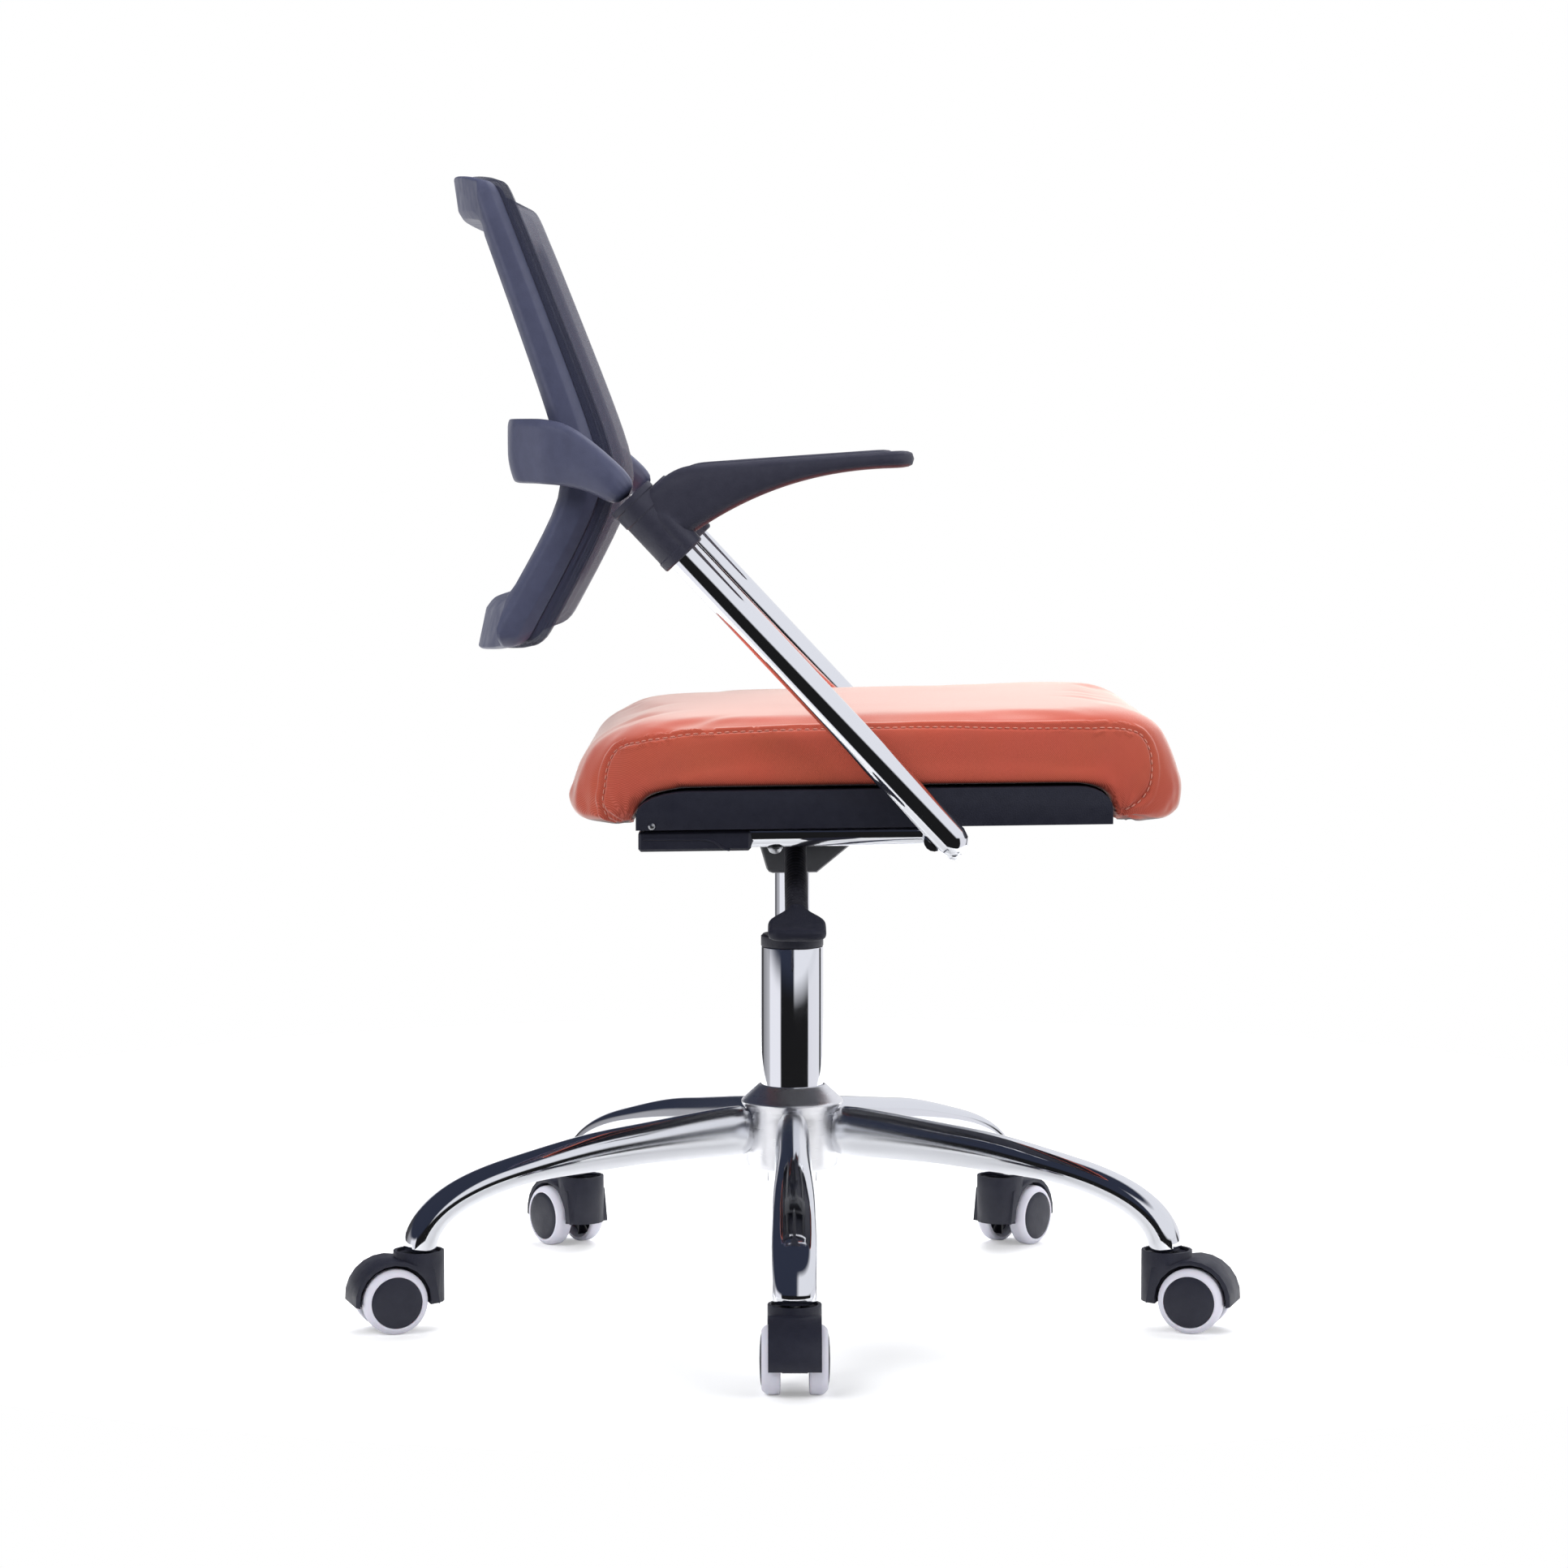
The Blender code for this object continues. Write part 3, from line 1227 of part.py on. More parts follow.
def make_cushion():
    side_top, crown = CUSHION_SEAM, CUSHION_CROWN
    levels = [
        (0.034, 0.034, CUSHION_BOTTOM, 0.0),
        (0.014, 0.014, CUSHION_BOTTOM + 0.003, 0.0),
        (0.004, 0.004, CUSHION_BOTTOM + 0.014, 0.0),
        (0.000, 0.000, CUSHION_BOTTOM + 0.036, 0.0),
        (0.003, 0.006, CUSHION_BOTTOM + 0.056, 0.3),
        (0.008, 0.016, side_top - 0.008, 0.8),
        (0.016, 0.032, side_top, 1.0),
        (0.040, 0.060, side_top + 0.6 * crown, 1.0),
        (0.085, 0.100, side_top + 0.85 * crown, 0.8),
        (0.150, 0.160, side_top + crown, 0.0),
    ]
    cushion = loft("seat_cushion", [cushion_ring(*level) for level in levels])
    space = prism("shell_space", shell_outline(FIT, SHELL_BOTTOM - 0.05), CUSHION_WIDTH / 2 + 0.05)
    lean(cushion, space)
    cut(cushion, space)
    settle(cushion, CORAL_FABRIC, SWIVEL)


# Height lever
def lever_point(distance):
    """A point on the lever's drooping run, measured from its pivot."""
    along = Vector((0, -cos(LEVER_DROOP), -sin(LEVER_DROOP)))
    return Vector((LEVER_X, LEVER_PIVOT_Y, LEVER_Z)) + along * distance


def make_lever():
    sleeve_end = SLEEVE_START + SLEEVE_LENGTH
    rod_end = lever_point(sleeve_end - 0.012)
    bend = [Vector((LEVER_X, LEVER_INNER_END, LEVER_Z)), Vector((LEVER_X, LEVER_PIVOT_Y + 0.002, LEVER_Z))]
    route = [*bend, lever_point(0.002), lever_point(0.5 * sleeve_end), rod_end]
    bar = tube("lever_rod", route, LEVER_ROD_DIA / 2)
    settle(bar, STEEL, LEVER_AXIS)

    outer, valley = SLEEVE_DIA / 2, SLEEVE_DIA / 2 - SLEEVE_RIB_DEPTH
    profile = [(0.0, SLEEVE_LENGTH), (outer, SLEEVE_LENGTH)]
    step = (SLEEVE_LENGTH - 0.012) / SLEEVE_RIBS
    for rib in range(SLEEVE_RIBS):
        top = SLEEVE_LENGTH - 0.008 - rib * step
        profile.append((valley, top))
        profile.append((outer, top - step / 2))
    profile += [(outer - 0.001, 0.0), (0.0, 0.0)]
    grip = turned("lever_grip", profile, 12)
    direction = (lever_point(1) - lever_point(0)).to_track_quat("Z", "Y")
    laid = Matrix.Translation(lever_point(SLEEVE_START)) @ direction.to_matrix().to_4x4()
    mesh = evaluated_mesh(grip)
    mesh.transform(laid)
    bpy.data.objects.remove(grip, do_unlink=True)
    grip = new_object("lever_grip", mesh)

    rows = 5
    sections = []
    up = Vector((0, -sin(LEVER_DROOP), cos(LEVER_DROOP)))
    for row in range(rows + 1):
        t = row / rows
        half_width = 0.5 * (PADDLE_NECK_WIDTH + (PADDLE_WIDTH - PADDLE_NECK_WIDTH) * min(1.0, 1.25 * t))
        half_height = 0.5 * (SLEEVE_DIA + (PADDLE_THICKNESS - SLEEVE_DIA) * min(1.0, 1.6 * t))
        if row == rows:
            half_width -= 0.003
            half_height -= 0.001
        centre = lever_point(sleeve_end - 0.004 + PADDLE_LENGTH * t)
        section = []
        for angle in ring(14):
            across = Vector((half_width * power(cos(angle), 0.6), 0, 0))
            section.append(centre + across + up * (half_height * power(sin(angle), 0.6)))
        sections.append(section)
    unite(grip, loft("paddle", sections))
    hole_end = rod_end + (rod_end - lever_point(0)).normalized() * FIT
    cut(grip, rod("rod_hole", lever_point(SLEEVE_START - 0.02), hole_end, LEVER_ROD_DIA / 2 + FIT, 12))
    settle(grip, BLACK_PLASTIC, LEVER_AXIS)


# Casters
def hood_outline():
    """The hood from the side: a fender arc over the wheel, the neck under the collar and the axle boss."""
    points = []
    arc_steps = 8
    for step in range(arc_steps + 1):
        angle = HOOD_FRONT_ANGLE + (HOOD_REAR_ANGLE - HOOD_FRONT_ANGLE) * step / arc_steps
        points.append((CASTER_TRAIL + HOOD_R * cos(angle), WHEEL_R + HOOD_R * sin(angle)))
    collar_r = COLLAR_DIA / 2
    boss_r = AXLE_DIA / 2 + 0.0055
    points += [
        (-0.40 * collar_r, COLLAR_TOP - 0.012),
        (-0.62 * collar_r, COLLAR_TOP - COLLAR_HEIGHT),
        (-0.30 * collar_r, WHEEL_R),
        (CASTER_TRAIL - boss_r, WHEEL_R - boss_r),
        (CASTER_TRAIL + boss_r, WHEEL_R - boss_r),
    ]
    return points


def hood_mesh():
    hood = prism("hood_form", hood_outline(), HOOD_WIDTH / 2)
    collar = rod("hood_collar", (0, 0, COLLAR_TOP - COLLAR_HEIGHT), (0, 0, COLLAR_TOP), COLLAR_DIA / 2, 20)
    unite(hood, collar)
    web = WHEEL_SPACING / 2 - 0.0008
    for side in (-1, 1):
        cut(
            hood,
            rod(
                f"wheel_room_{side}",
                (CASTER_TRAIL, side * web, WHEEL_R),
                (CASTER_TRAIL, side * (HOOD_WIDTH / 2 + 0.01), WHEEL_R),
                WHEEL_R + HOOD_CLEARANCE,
                20,
            ),
        )
    recess_floor = COLLAR_TOP - COLLAR_RECESS
    stem_floor = recess_floor - STEM_IN_HOOD - FIT
    cut(
        hood,
        rod("stem_bore", (0, 0, stem_floor), (0, 0, COLLAR_TOP + 0.01), STEM_DIA / 2 + FIT, 12),
        rod("leg_recess", (0, 0, recess_floor), (0, 0, COLLAR_TOP + 0.01), COLLAR_RECESS_DIA / 2, 20),
        rod(
            "axle_bore",
            (CASTER_TRAIL, -HOOD_WIDTH, WHEEL_R),
            (CASTER_TRAIL, HOOD_WIDTH, WHEEL_R),
            AXLE_DIA / 2 + FIT,
            12,
        ),
    )
    mesh = evaluated_mesh(hood)
    bpy.data.objects.remove(hood, do_unlink=True)
    return mesh


def wheel_profile():
    """One wheel on its own axis: cap and tread outside, a hollow with a boss inside, and a blind bore."""
    cap_r = WHEEL_CAP_DIA / 2
    bore = AXLE_DIA / 2 + RUN
    boss = bore + 0.0035
    blind = AXLE_GRIP + RUN
    return [
        (0, WHEEL_WIDTH),
        (cap_r, WHEEL_WIDTH),
        (cap_r + 0.001, WHEEL_WIDTH - 0.0015),
        (WHEEL_R - 0.003, WHEEL_WIDTH - 0.0008),
        (WHEEL_R, WHEEL_WIDTH - 0.004),
        (WHEEL_R, 0.003),
        (WHEEL_R - 0.003, 0),
        (WHEEL_R - 0.006, 0.005),
        (boss, 0.005),
        (boss, 0),
        (bore, 0),
        (bore, blind),
        (0, blind),
    ]


def make_casters():
    hood_shape = hood_mesh()
    for number in range(LEG_COUNT):
        label = number + 1
        turn = -pi / 2 + number * LEG_STEP
        place = (CASTER_CIRCLE * cos(turn), CASTER_CIRCLE * sin(turn), 0)
        pin = axis_point(f"caster_axis_{label}", place, CHAIR, turn)
        hub = axis_point(f"wheel_axis_{label}", (CASTER_TRAIL, 0, WHEEL_R), pin)
        settle(new_object(f"caster_hood_{label}", hood_shape), BLACK_PLASTIC, pin, local=True)
        stem_low = COLLAR_TOP - COLLAR_RECESS - STEM_IN_HOOD
        stem_top = LEG_END_Z + STEM_IN_LEG
        stem = rod(f"caster_stem_{label}", (0, 0, stem_low), (0, 0, stem_top), STEM_DIA / 2, 12)
        settle(stem, STEEL, pin, local=True)
        reach = WHEEL_SPACING / 2 + AXLE_GRIP
        axle = rod(f"caster_axle_{label}", (0, -reach, 0), (0, reach, 0), AXLE_DIA / 2, 12)
        settle(axle, STEEL, hub, local=True)
        for letter, side in (("a", -1), ("b", 1)):
            wheel = turned(f"caster_wheel_{label}_{letter}", wheel_profile(), 16)
            settle(wheel, TREAD_PLASTIC, hub, local=True)
            wheel.location = (0, side * WHEEL_SPACING / 2, 0)
            wheel.rotation_euler.x = -side * pi / 2


HANDS = (("right", -1), ("left", 1))

make_hub()
make_legs()
make_column()
make_lift()
make_lift_plate()
make_cross_tubes()
for hand, side in HANDS:
    make_rail(hand, side)
    make_rail_cover(hand, side)
    make_arm_tube(hand, side)
    make_armrest(hand, side)
    make_pivot(hand, side)
make_yoke()
make_back_frame()
make_back_mesh()
make_shell()
make_cushion()
make_lever()
make_casters()
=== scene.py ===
"""An office swivel chair on five casters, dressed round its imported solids.

The chair faces +X, its right side is towards -Y, and all sizes are in metres.
"""

from math import atan2, cos, hypot, pi, radians, sin, sqrt, tan

import bmesh
import bpy
from mathutils import Matrix, Vector, kdtree
from mathutils.bvhtree import BVHTree


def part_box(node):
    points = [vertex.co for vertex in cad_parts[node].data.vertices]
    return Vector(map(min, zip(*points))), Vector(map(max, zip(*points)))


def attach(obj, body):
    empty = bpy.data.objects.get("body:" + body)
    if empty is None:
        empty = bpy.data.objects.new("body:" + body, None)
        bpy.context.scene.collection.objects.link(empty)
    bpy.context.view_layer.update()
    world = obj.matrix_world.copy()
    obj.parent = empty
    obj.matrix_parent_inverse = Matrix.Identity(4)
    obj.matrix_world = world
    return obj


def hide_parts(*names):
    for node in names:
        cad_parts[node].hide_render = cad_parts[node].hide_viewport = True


bpy.ops.wm.read_factory_settings(use_empty=True)
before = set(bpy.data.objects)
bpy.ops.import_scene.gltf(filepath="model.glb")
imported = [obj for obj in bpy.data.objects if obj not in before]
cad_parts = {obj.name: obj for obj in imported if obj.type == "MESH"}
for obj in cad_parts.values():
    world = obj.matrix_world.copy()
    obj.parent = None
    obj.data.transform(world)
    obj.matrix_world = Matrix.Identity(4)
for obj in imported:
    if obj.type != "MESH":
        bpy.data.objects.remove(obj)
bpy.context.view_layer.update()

# Studio: a white floor disc under the chair, three large soft lamps, and a world that is white behind
# the chair. Metal doesn't mirror the lamps: it finds pale and dark panels in the world instead.
scene = bpy.context.scene
scene.view_settings.view_transform = "Standard"
FLOOR_RADIUS = 1.12
FLOOR_BEHIND = 0.60
FLOOR_WHITE = 0.86
FLOOR_LIFT, FLOOR_LIFT_IN_METAL = 0.30, 0.05
column_low, column_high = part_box("column_tube")
AXIS = Vector(((column_low[0] + column_high[0]) / 2, (column_low[1] + column_high[1]) / 2, 0))


def put_away():
    """Leaves edit mode and lets go of everything that is selected."""
    if bpy.context.object and bpy.context.object.mode != "OBJECT":
        bpy.ops.object.mode_set(mode="OBJECT")
    bpy.ops.object.select_all(action="DESELECT")


def feed(node, sockets):
    """Gives a node's inputs a constant each, or another node or output to take their value from."""
    for key, value in sockets.items():
        if isinstance(value, bpy.types.Node):
            value = value.outputs[0]
        if isinstance(value, bpy.types.NodeSocket):
            node.id_data.links.new(value, node.inputs[key])
        else:
            node.inputs[key].default_value = value


def new_finish(name, sockets=None):
    """A node material and its shader, with the shader's constants set."""
    finish = bpy.data.materials.new(name)
    finish.use_nodes = True
    shader = finish.node_tree.nodes["Principled BSDF"]
    feed(shader, sockets or {})
    return finish, shader


def add_node(tree, kind, sockets=None, **settings):
    """A shader node with its settings and inputs."""
    node = tree.nodes.new("ShaderNode" + kind)
    for key, value in settings.items():
        setattr(node, key, value)
    feed(node, sockets or {})
    return node


def calculate(tree, operation, *values):
    return add_node(tree, "Math", dict(enumerate(values)), operation=operation)


def ranged(tree, value, start, end, low=0.0, high=1.0, kind="LINEAR"):
    """Takes a value that runs from start to end to one that runs from low to high."""
    sockets = {"Value": value, "From Min": start, "From Max": end, "To Min": low, "To Max": high}
    return add_node(tree, "MapRange", sockets, interpolation_type=kind)


def mixed(tree, factor, first, second, blend="MIX"):
    """A colour between two others."""
    sockets = {"Factor": factor, "A": first, "B": second}
    return add_node(tree, "Mix", sockets, data_type="RGBA", blend_type=blend).outputs["Result"]


def seen_directly(tree):
    """One where the camera sees a thing, also through the holes of a cloth, and nought elsewhere."""
    path = add_node(tree, "LightPath").outputs
    return calculate(tree, "MAXIMUM", path["Is Camera Ray"], path["Is Transmission Ray"])


def seen_in_metal(tree):
    return add_node(tree, "LightPath").outputs["Is Glossy Ray"]


put_away()
bpy.ops.mesh.primitive_circle_add(
    vertices=96, radius=FLOOR_RADIUS, fill_type="NGON", location=AXIS + Vector((0, FLOOR_BEHIND, 0))
)
floor = bpy.context.object
floor.name = "studio_floor"
bpy.ops.object.transform_apply(location=True)
floor_finish, shader = new_finish("floor_white")
tree = floor_finish.node_tree
tree.nodes.remove(shader)
matt = add_node(tree, "BsdfDiffuse", {"Color": (FLOOR_WHITE, FLOOR_WHITE, FLOOR_WHITE, 1)})
in_metal = calculate(tree, "MULTIPLY", seen_in_metal(tree), FLOOR_LIFT_IN_METAL)
amount = calculate(tree, "MULTIPLY_ADD", seen_directly(tree), FLOOR_LIFT, in_metal)
lift = add_node(tree, "Emission", {"Color": (1, 1, 1, 1), "Strength": amount})
feed(tree.nodes["Material Output"], {"Surface": add_node(tree, "AddShader", {0: matt, 1: lift})})
floor.data.materials.append(floor_finish)

world = bpy.data.worlds.new("studio")
scene.world = world
world.use_nodes = True
tree = world.node_tree
tree.nodes.clear()
axes = add_node(tree, "SeparateXYZ", {0: add_node(tree, "TexCoord").outputs["Generated"]}).outputs
turn = calculate(tree, "ARCTAN2", axes["X"], calculate(tree, "MULTIPLY", axes["Y"], -1))
panels = add_node(tree, "ValToRGB", {"Fac": ranged(tree, turn, -pi, pi)})
PANELS = [(0.0, 0.86), (0.065, 0.86), (0.075, 0.05), (0.125, 0.08), (0.145, 0.30), (0.235, 0.50)]
PANELS += [(0.255, 0.92), (0.372, 0.92), (0.386, 0.012), (0.664, 0.012), (0.678, 0.82), (0.828, 0.86)]
PANELS += [(0.836, 0.05), (0.864, 0.05), (0.874, 0.84), (1.0, 0.86)]
for number, (spot, level) in enumerate(PANELS):
    stop = panels.color_ramp.elements[number] if number < 1 else panels.color_ramp.elements.new(spot)
    stop.position = spot
    stop.color = (level, level, 1.06 * level, 1)
ROOF_EDGE, ROOF_DARK = (0.10, 0.24), (0.030, 0.036, 0.060, 1)
BOX_SIDE, BOX_LOW, BOX_HIGH, BOX_PALE = (0.06, 0.16), (0.08, 0.18), (0.84, 0.72), (0.86, 0.87, 0.92, 1)
FILL_TURN, FILL_LEVELS = (-0.75, 0.25), (0.25, 0.90)
overhead = ranged(tree, axes["Z"], *ROOF_EDGE, kind="SMOOTHSTEP")
roof = mixed(tree, overhead, panels, ROOF_DARK)
beside, above = ranged(tree, axes["X"], *BOX_SIDE), ranged(tree, axes["Z"], *BOX_LOW)
between = calculate(tree, "MULTIPLY", beside, above)
in_box = calculate(tree, "MULTIPLY", between, ranged(tree, axes["Z"], *BOX_HIGH))
metal_sees = add_node(tree, "Background", {"Color": mixed(tree, in_box, roof, BOX_PALE)})
from_behind = ranged(tree, axes["Y"], *FILL_TURN, *FILL_LEVELS, "SMOOTHSTEP")
fill = add_node(tree, "Background", {"Color": (0.93, 0.95, 1.0, 1), "Strength": from_behind})
backdrop = add_node(tree, "Background", {"Color": (1, 1, 1, 1)})
for_metal = add_node(tree, "MixShader", {"Fac": seen_in_metal(tree), 1: fill, 2: metal_sees})
for_camera = add_node(tree, "MixShader", {"Fac": seen_directly(tree), 1: for_metal, 2: backdrop})
add_node(tree, "OutputWorld", {"Surface": for_camera})

LAMPS = {
    "key": ((-1.9, -2.4, 2.5), 1.8, 62),
    "fill": ((2.4, -1.9, 1.5), 1.6, 34),
    "top": ((0.3, 1.7, 2.5), 2.2, 100),
}
LAMP_AIM = Vector((0.0, 0.03, 0.45))
for name, (spot, size, power) in LAMPS.items():
    bpy.ops.object.light_add(type="AREA", location=spot)
    lamp = bpy.context.object
    lamp.name = name
    lamp.data.size = size
    lamp.data.energy = power
    lamp.rotation_euler = (LAMP_AIM - Vector(spot)).to_track_quat("-Z", "Y").to_euler()
    lamp.visible_glossy = False
    lamp.visible_camera = False

# Camera: a long lens a little above the seat, looking slightly down at the chair's right side, so that
# lines across the chair hardly run together.
CAMERA_SPOT = (-0.0202, -3.3868, 0.6912)
CAMERA_LENS = 98.52
CAMERA_PITCH = 0.0792
CAMERA_YAW = 0.0040
bpy.ops.object.camera_add(location=CAMERA_SPOT, rotation=(pi / 2 - CAMERA_PITCH, 0, -CAMERA_YAW))
scene.camera = bpy.context.object
scene.camera.data.sensor_width = 36
scene.camera.data.lens = CAMERA_LENS

# Base hub: an aluminium casting with a polished cone round the column and a satin drum under it,
# into which the five legs run.
HUB_SIDES = 64
HUB_PROFILE = [
    (0.0253, 0.1790), (0.0272, 0.1786), (0.0398, 0.1672), (0.0410, 0.1655),
    (0.0404, 0.1634), (0.0378, 0.1600), (0.0372, 0.1540), (0.0372, 0.1180),
    (0.0362, 0.1140), (0.0335, 0.1122), (0.0240, 0.1120),
]


def lathe(name, profile, sides, closed=True):
    """Turns a profile of radius and height about Z: a circle is extruded and sized ring by ring."""
    put_away()
    radius, height = profile[0]
    bpy.ops.mesh.primitive_circle_add(vertices=sides, radius=radius, location=(0, 0, height))
    piece = bpy.context.object
    piece.name = name
    bpy.ops.object.transform_apply(location=True)
    bpy.ops.object.mode_set(mode="EDIT")
    bpy.ops.mesh.select_all(action="SELECT")
    for wide, high in profile[1:] + (profile[:1] if closed else []):
        bpy.ops.mesh.extrude_region_move(TRANSFORM_OT_translate={"value": (0, 0, high - height)})
        if wide != radius:
            growth = (wide / radius, wide / radius, 1)
            bpy.ops.transform.resize(value=growth, center_override=(0, 0, high))
        radius, height = wide, high
    if not closed:
        close_ends(piece, sides)
    tidy_mesh()
    return piece


def close_ends(piece, count):
    """Fills the last ring, which is selected, and then the first, whose points were made first."""
    bpy.ops.mesh.edge_face_add()
    bpy.ops.mesh.select_all(action="DESELECT")
    shape = bmesh.from_edit_mesh(piece.data)
    shape.verts.ensure_lookup_table()
    for index in range(count):
        shape.verts[index].select = True
    shape.select_flush(True)
    bpy.ops.mesh.edge_face_add()


def tidy_mesh():
    """Merges doubled points, turns all faces outwards and leaves edit mode."""
    bpy.ops.mesh.select_all(action="SELECT")
    bpy.ops.mesh.remove_doubles(threshold=0.00002)
    bpy.ops.mesh.normals_make_consistent(inside=False)
    bpy.ops.object.mode_set(mode="OBJECT")


def pick(piece):
    """Selects one piece alone and makes it the active one."""
    put_away()
    piece.select_set(True)
    bpy.context.view_layer.objects.active = piece


def apply_step(piece, kind, **settings):
    """Adds one modifier with its settings and applies it."""
    pick(piece)
    step = piece.modifiers.new(kind.lower(), kind)
    for key, value in settings.items():
        setattr(step, key, value)
    bpy.ops.object.modifier_apply(modifier=step.name)


def shade(piece, angle=35):
    pick(piece)
    bpy.ops.object.shade_smooth_by_angle(angle=radians(angle))


def settle(piece, finish, body, slot, *stands_for):
    """Gives a piece its finish and its body, and hides the nodes that it stands for."""
    piece.data.materials.clear()
    piece.data.materials.append(finish)
    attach(piece, body)
    if stands_for:
        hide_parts(*stands_for)
    return piece


def roughen(shader, scale, low, high, detail=3.0, stretch=(1, 1, 1)):
    """Cloudy noise on Object coordinates that moves the roughness between two levels."""
    tree = shader.id_data
    place = add_node(tree, "TexCoord").outputs["Object"]
    spread = add_node(tree, "Mapping", {"Vector": place, "Scale": stretch})
    cloud = add_node(tree, "TexNoise", {"Vector": spread, "Scale": scale, "Detail": detail})
    feed(shader, {"Roughness": ranged(tree, cloud, 0.3, 0.7, low, high)})
    return cloud


def raise_grain(shader, source, strength, distance):
    """Fine relief from a texture's value."""
    relief = {"Height": source, "Strength": strength, "Distance": distance}
    feed(shader, {"Normal": add_node(shader.id_data, "Bump", relief)})


def tint(shader, scale, dark, light):
    """Colour that drifts between two shades of one finish."""
    tree = shader.id_data
    place = add_node(tree, "TexCoord").outputs["Object"]
    cloud = add_node(tree, "TexNoise", {"Vector": place, "Scale": scale, "Detail": 4.0})
    feed(shader, {"Base Color": mixed(tree, cloud, (*dark, 1), (*light, 1))})


satin, shader = new_finish("satin_casting", {"Metallic": 1.0})
tint(shader, 90, (0.86, 0.86, 0.88), (0.93, 0.93, 0.95))
brushed = roughen(shader, 55, 0.26, 0.42, 5.0, (1, 1, 26))
raise_grain(shader, brushed, 0.12, 0.0003)

hub = lathe("base_hub_casting", HUB_PROFILE, HUB_SIDES)
hub.data.transform(Matrix.Translation(AXIS))
apply_step(hub, "BEVEL", width=0.0006, segments=2, limit_method="ANGLE", angle_limit=radians(25))
shade(hub)
settle(hub, satin, "base", "satin_alloy", "base_hub")

# Five legs: die-cast aluminium polished bright. Each is tall and narrow where it leaves the hub and
# turns wide and low on its way out, then bends down over its caster.
LEG_COUNT = 5
LEG_RUN = [(0.0315, 0.1440), (0.1917, 0.1330), (0.3050, 0.1190), (0.3080, 0.0599)]
LEG_HEIGHTS = [0.041, 0.032, 0.023, 0.023, 0.026]
LEG_WIDTHS = [0.027, 0.029, 0.034, 0.035, 0.034]
LEG_STATIONS = 22
LEG_SIDES = 24
LEG_ROUNDING = 0.80
LEG_AHEAD = 0.01


def sweep(name, rings, loop=False, ends=True):
    """Extrudes a circle from station to station and sets each new ring to its own outline."""
    put_away()
    count = len(rings[0])
    bpy.ops.mesh.primitive_circle_add(vertices=count, radius=0.01)
    piece = bpy.context.object
    piece.name = name
    bpy.ops.object.mode_set(mode="EDIT")
    bpy.ops.mesh.select_all(action="SELECT")
    last = list(range(count))
    for number, ring in enumerate(rings + (rings[:1] if loop else [])):
        if number:
            bpy.ops.mesh.extrude_region_move()
        shape = bmesh.from_edit_mesh(piece.data)
        shape.verts.ensure_lookup_table()
        if number:
            pairs = [[e.other_vert(shape.verts[i]) for e in shape.verts[i].link_edges] for i in last]
            last = [next(v.index for v in pair if v.select) for pair in pairs]
        for index, point in zip(last, ring):
            shape.verts[index].co = point
        bmesh.update_edit_mesh(piece.data)
    if ends and not loop:
        close_ends(piece, count)
    tidy_mesh()
    return piece


def ring_angles(count):
    return [2 * pi * i / count for i in range(count)]


def squared(value, exponent):
    """A sine or cosine pushed out towards a square's sides."""
    return abs(value) ** exponent * (1 if value >= 0 else -1)


def bezier(points, t):
    u = 1 - t
    shares = (u**3, 3 * u * u * t, 3 * u * t * t, t**3)
    return [sum(share * point[axis] for share, point in zip(shares, points)) for axis in (0, 1)]


def soft_step(t):
    return t * t * (3 - 2 * t)


def eased(values, t):
    """A value between stations at equal steps, eased from each to the next."""
    spot = t * (len(values) - 1)
    first = min(int(spot), len(values) - 2)
    return values[first] + (values[first + 1] - values[first]) * soft_step(spot - first)


leg_rings = []
for row in range(LEG_STATIONS + 1):
    t = row / LEG_STATIONS
    x, z = bezier(LEG_RUN, t)
    ahead, behind = bezier(LEG_RUN, min(t + LEG_AHEAD, 1)), bezier(LEG_RUN, max(t - LEG_AHEAD, 0))
    run, fall = ahead[0] - behind[0], ahead[1] - behind[1]
    up = (-fall / hypot(run, fall), run / hypot(run, fall))
    if row == LEG_STATIONS:
        up = (1, 0)
    tall, wide = eased(LEG_HEIGHTS, t) / 2, eased(LEG_WIDTHS, t) / 2
    leg_ring = []
    for angle in ring_angles(LEG_SIDES):
        rise = tall * squared(sin(angle), LEG_ROUNDING)
        side = wide * squared(cos(angle), LEG_ROUNDING)
        leg_ring.append((x + up[0] * rise, side, z + up[1] * rise))
    leg_rings.append(leg_ring)

polished, shader = new_finish("polished_casting", {"Base Color": (0.80, 0.81, 0.84, 1), "Metallic": 1.0})
tree = polished.node_tree
place = add_node(tree, "TexCoord").outputs["Object"]
on_floor = {"Vector": place, "Location": (-AXIS.x, -AXIS.y, 0), "Scale": (1, 1, 0)}
from_hub = add_node(tree, "Mapping", on_floor)
reach = add_node(tree, "VectorMath", {0: from_hub}, operation="LENGTH").outputs["Value"]
near_hub = ranged(tree, reach, 0.05, 0.20, 0.20, 0.035, "SMOOTHSTEP")
smudge = add_node(tree, "TexNoise", {"Vector": place, "Scale": 140, "Detail": 6})
feed(shader, {"Roughness": calculate(tree, "MULTIPLY_ADD", smudge, 0.05, near_hub)})
raise_grain(shader, smudge, 0.03, 0.0004)

leg_form = sweep("leg_form", leg_rings)
apply_step(leg_form, "SUBSURF", levels=1, render_levels=1)
shade(leg_form, 40)


def copy_of(source, name, matrix):
    """A copy with its own mesh, with its place put into the mesh."""
    piece = bpy.data.objects.new(name, source.data.copy())
    scene.collection.objects.link(piece)
    piece.data.transform(matrix)
    return piece


def discard(*pieces):
    for piece in pieces:
        bpy.data.objects.remove(piece, do_unlink=True)


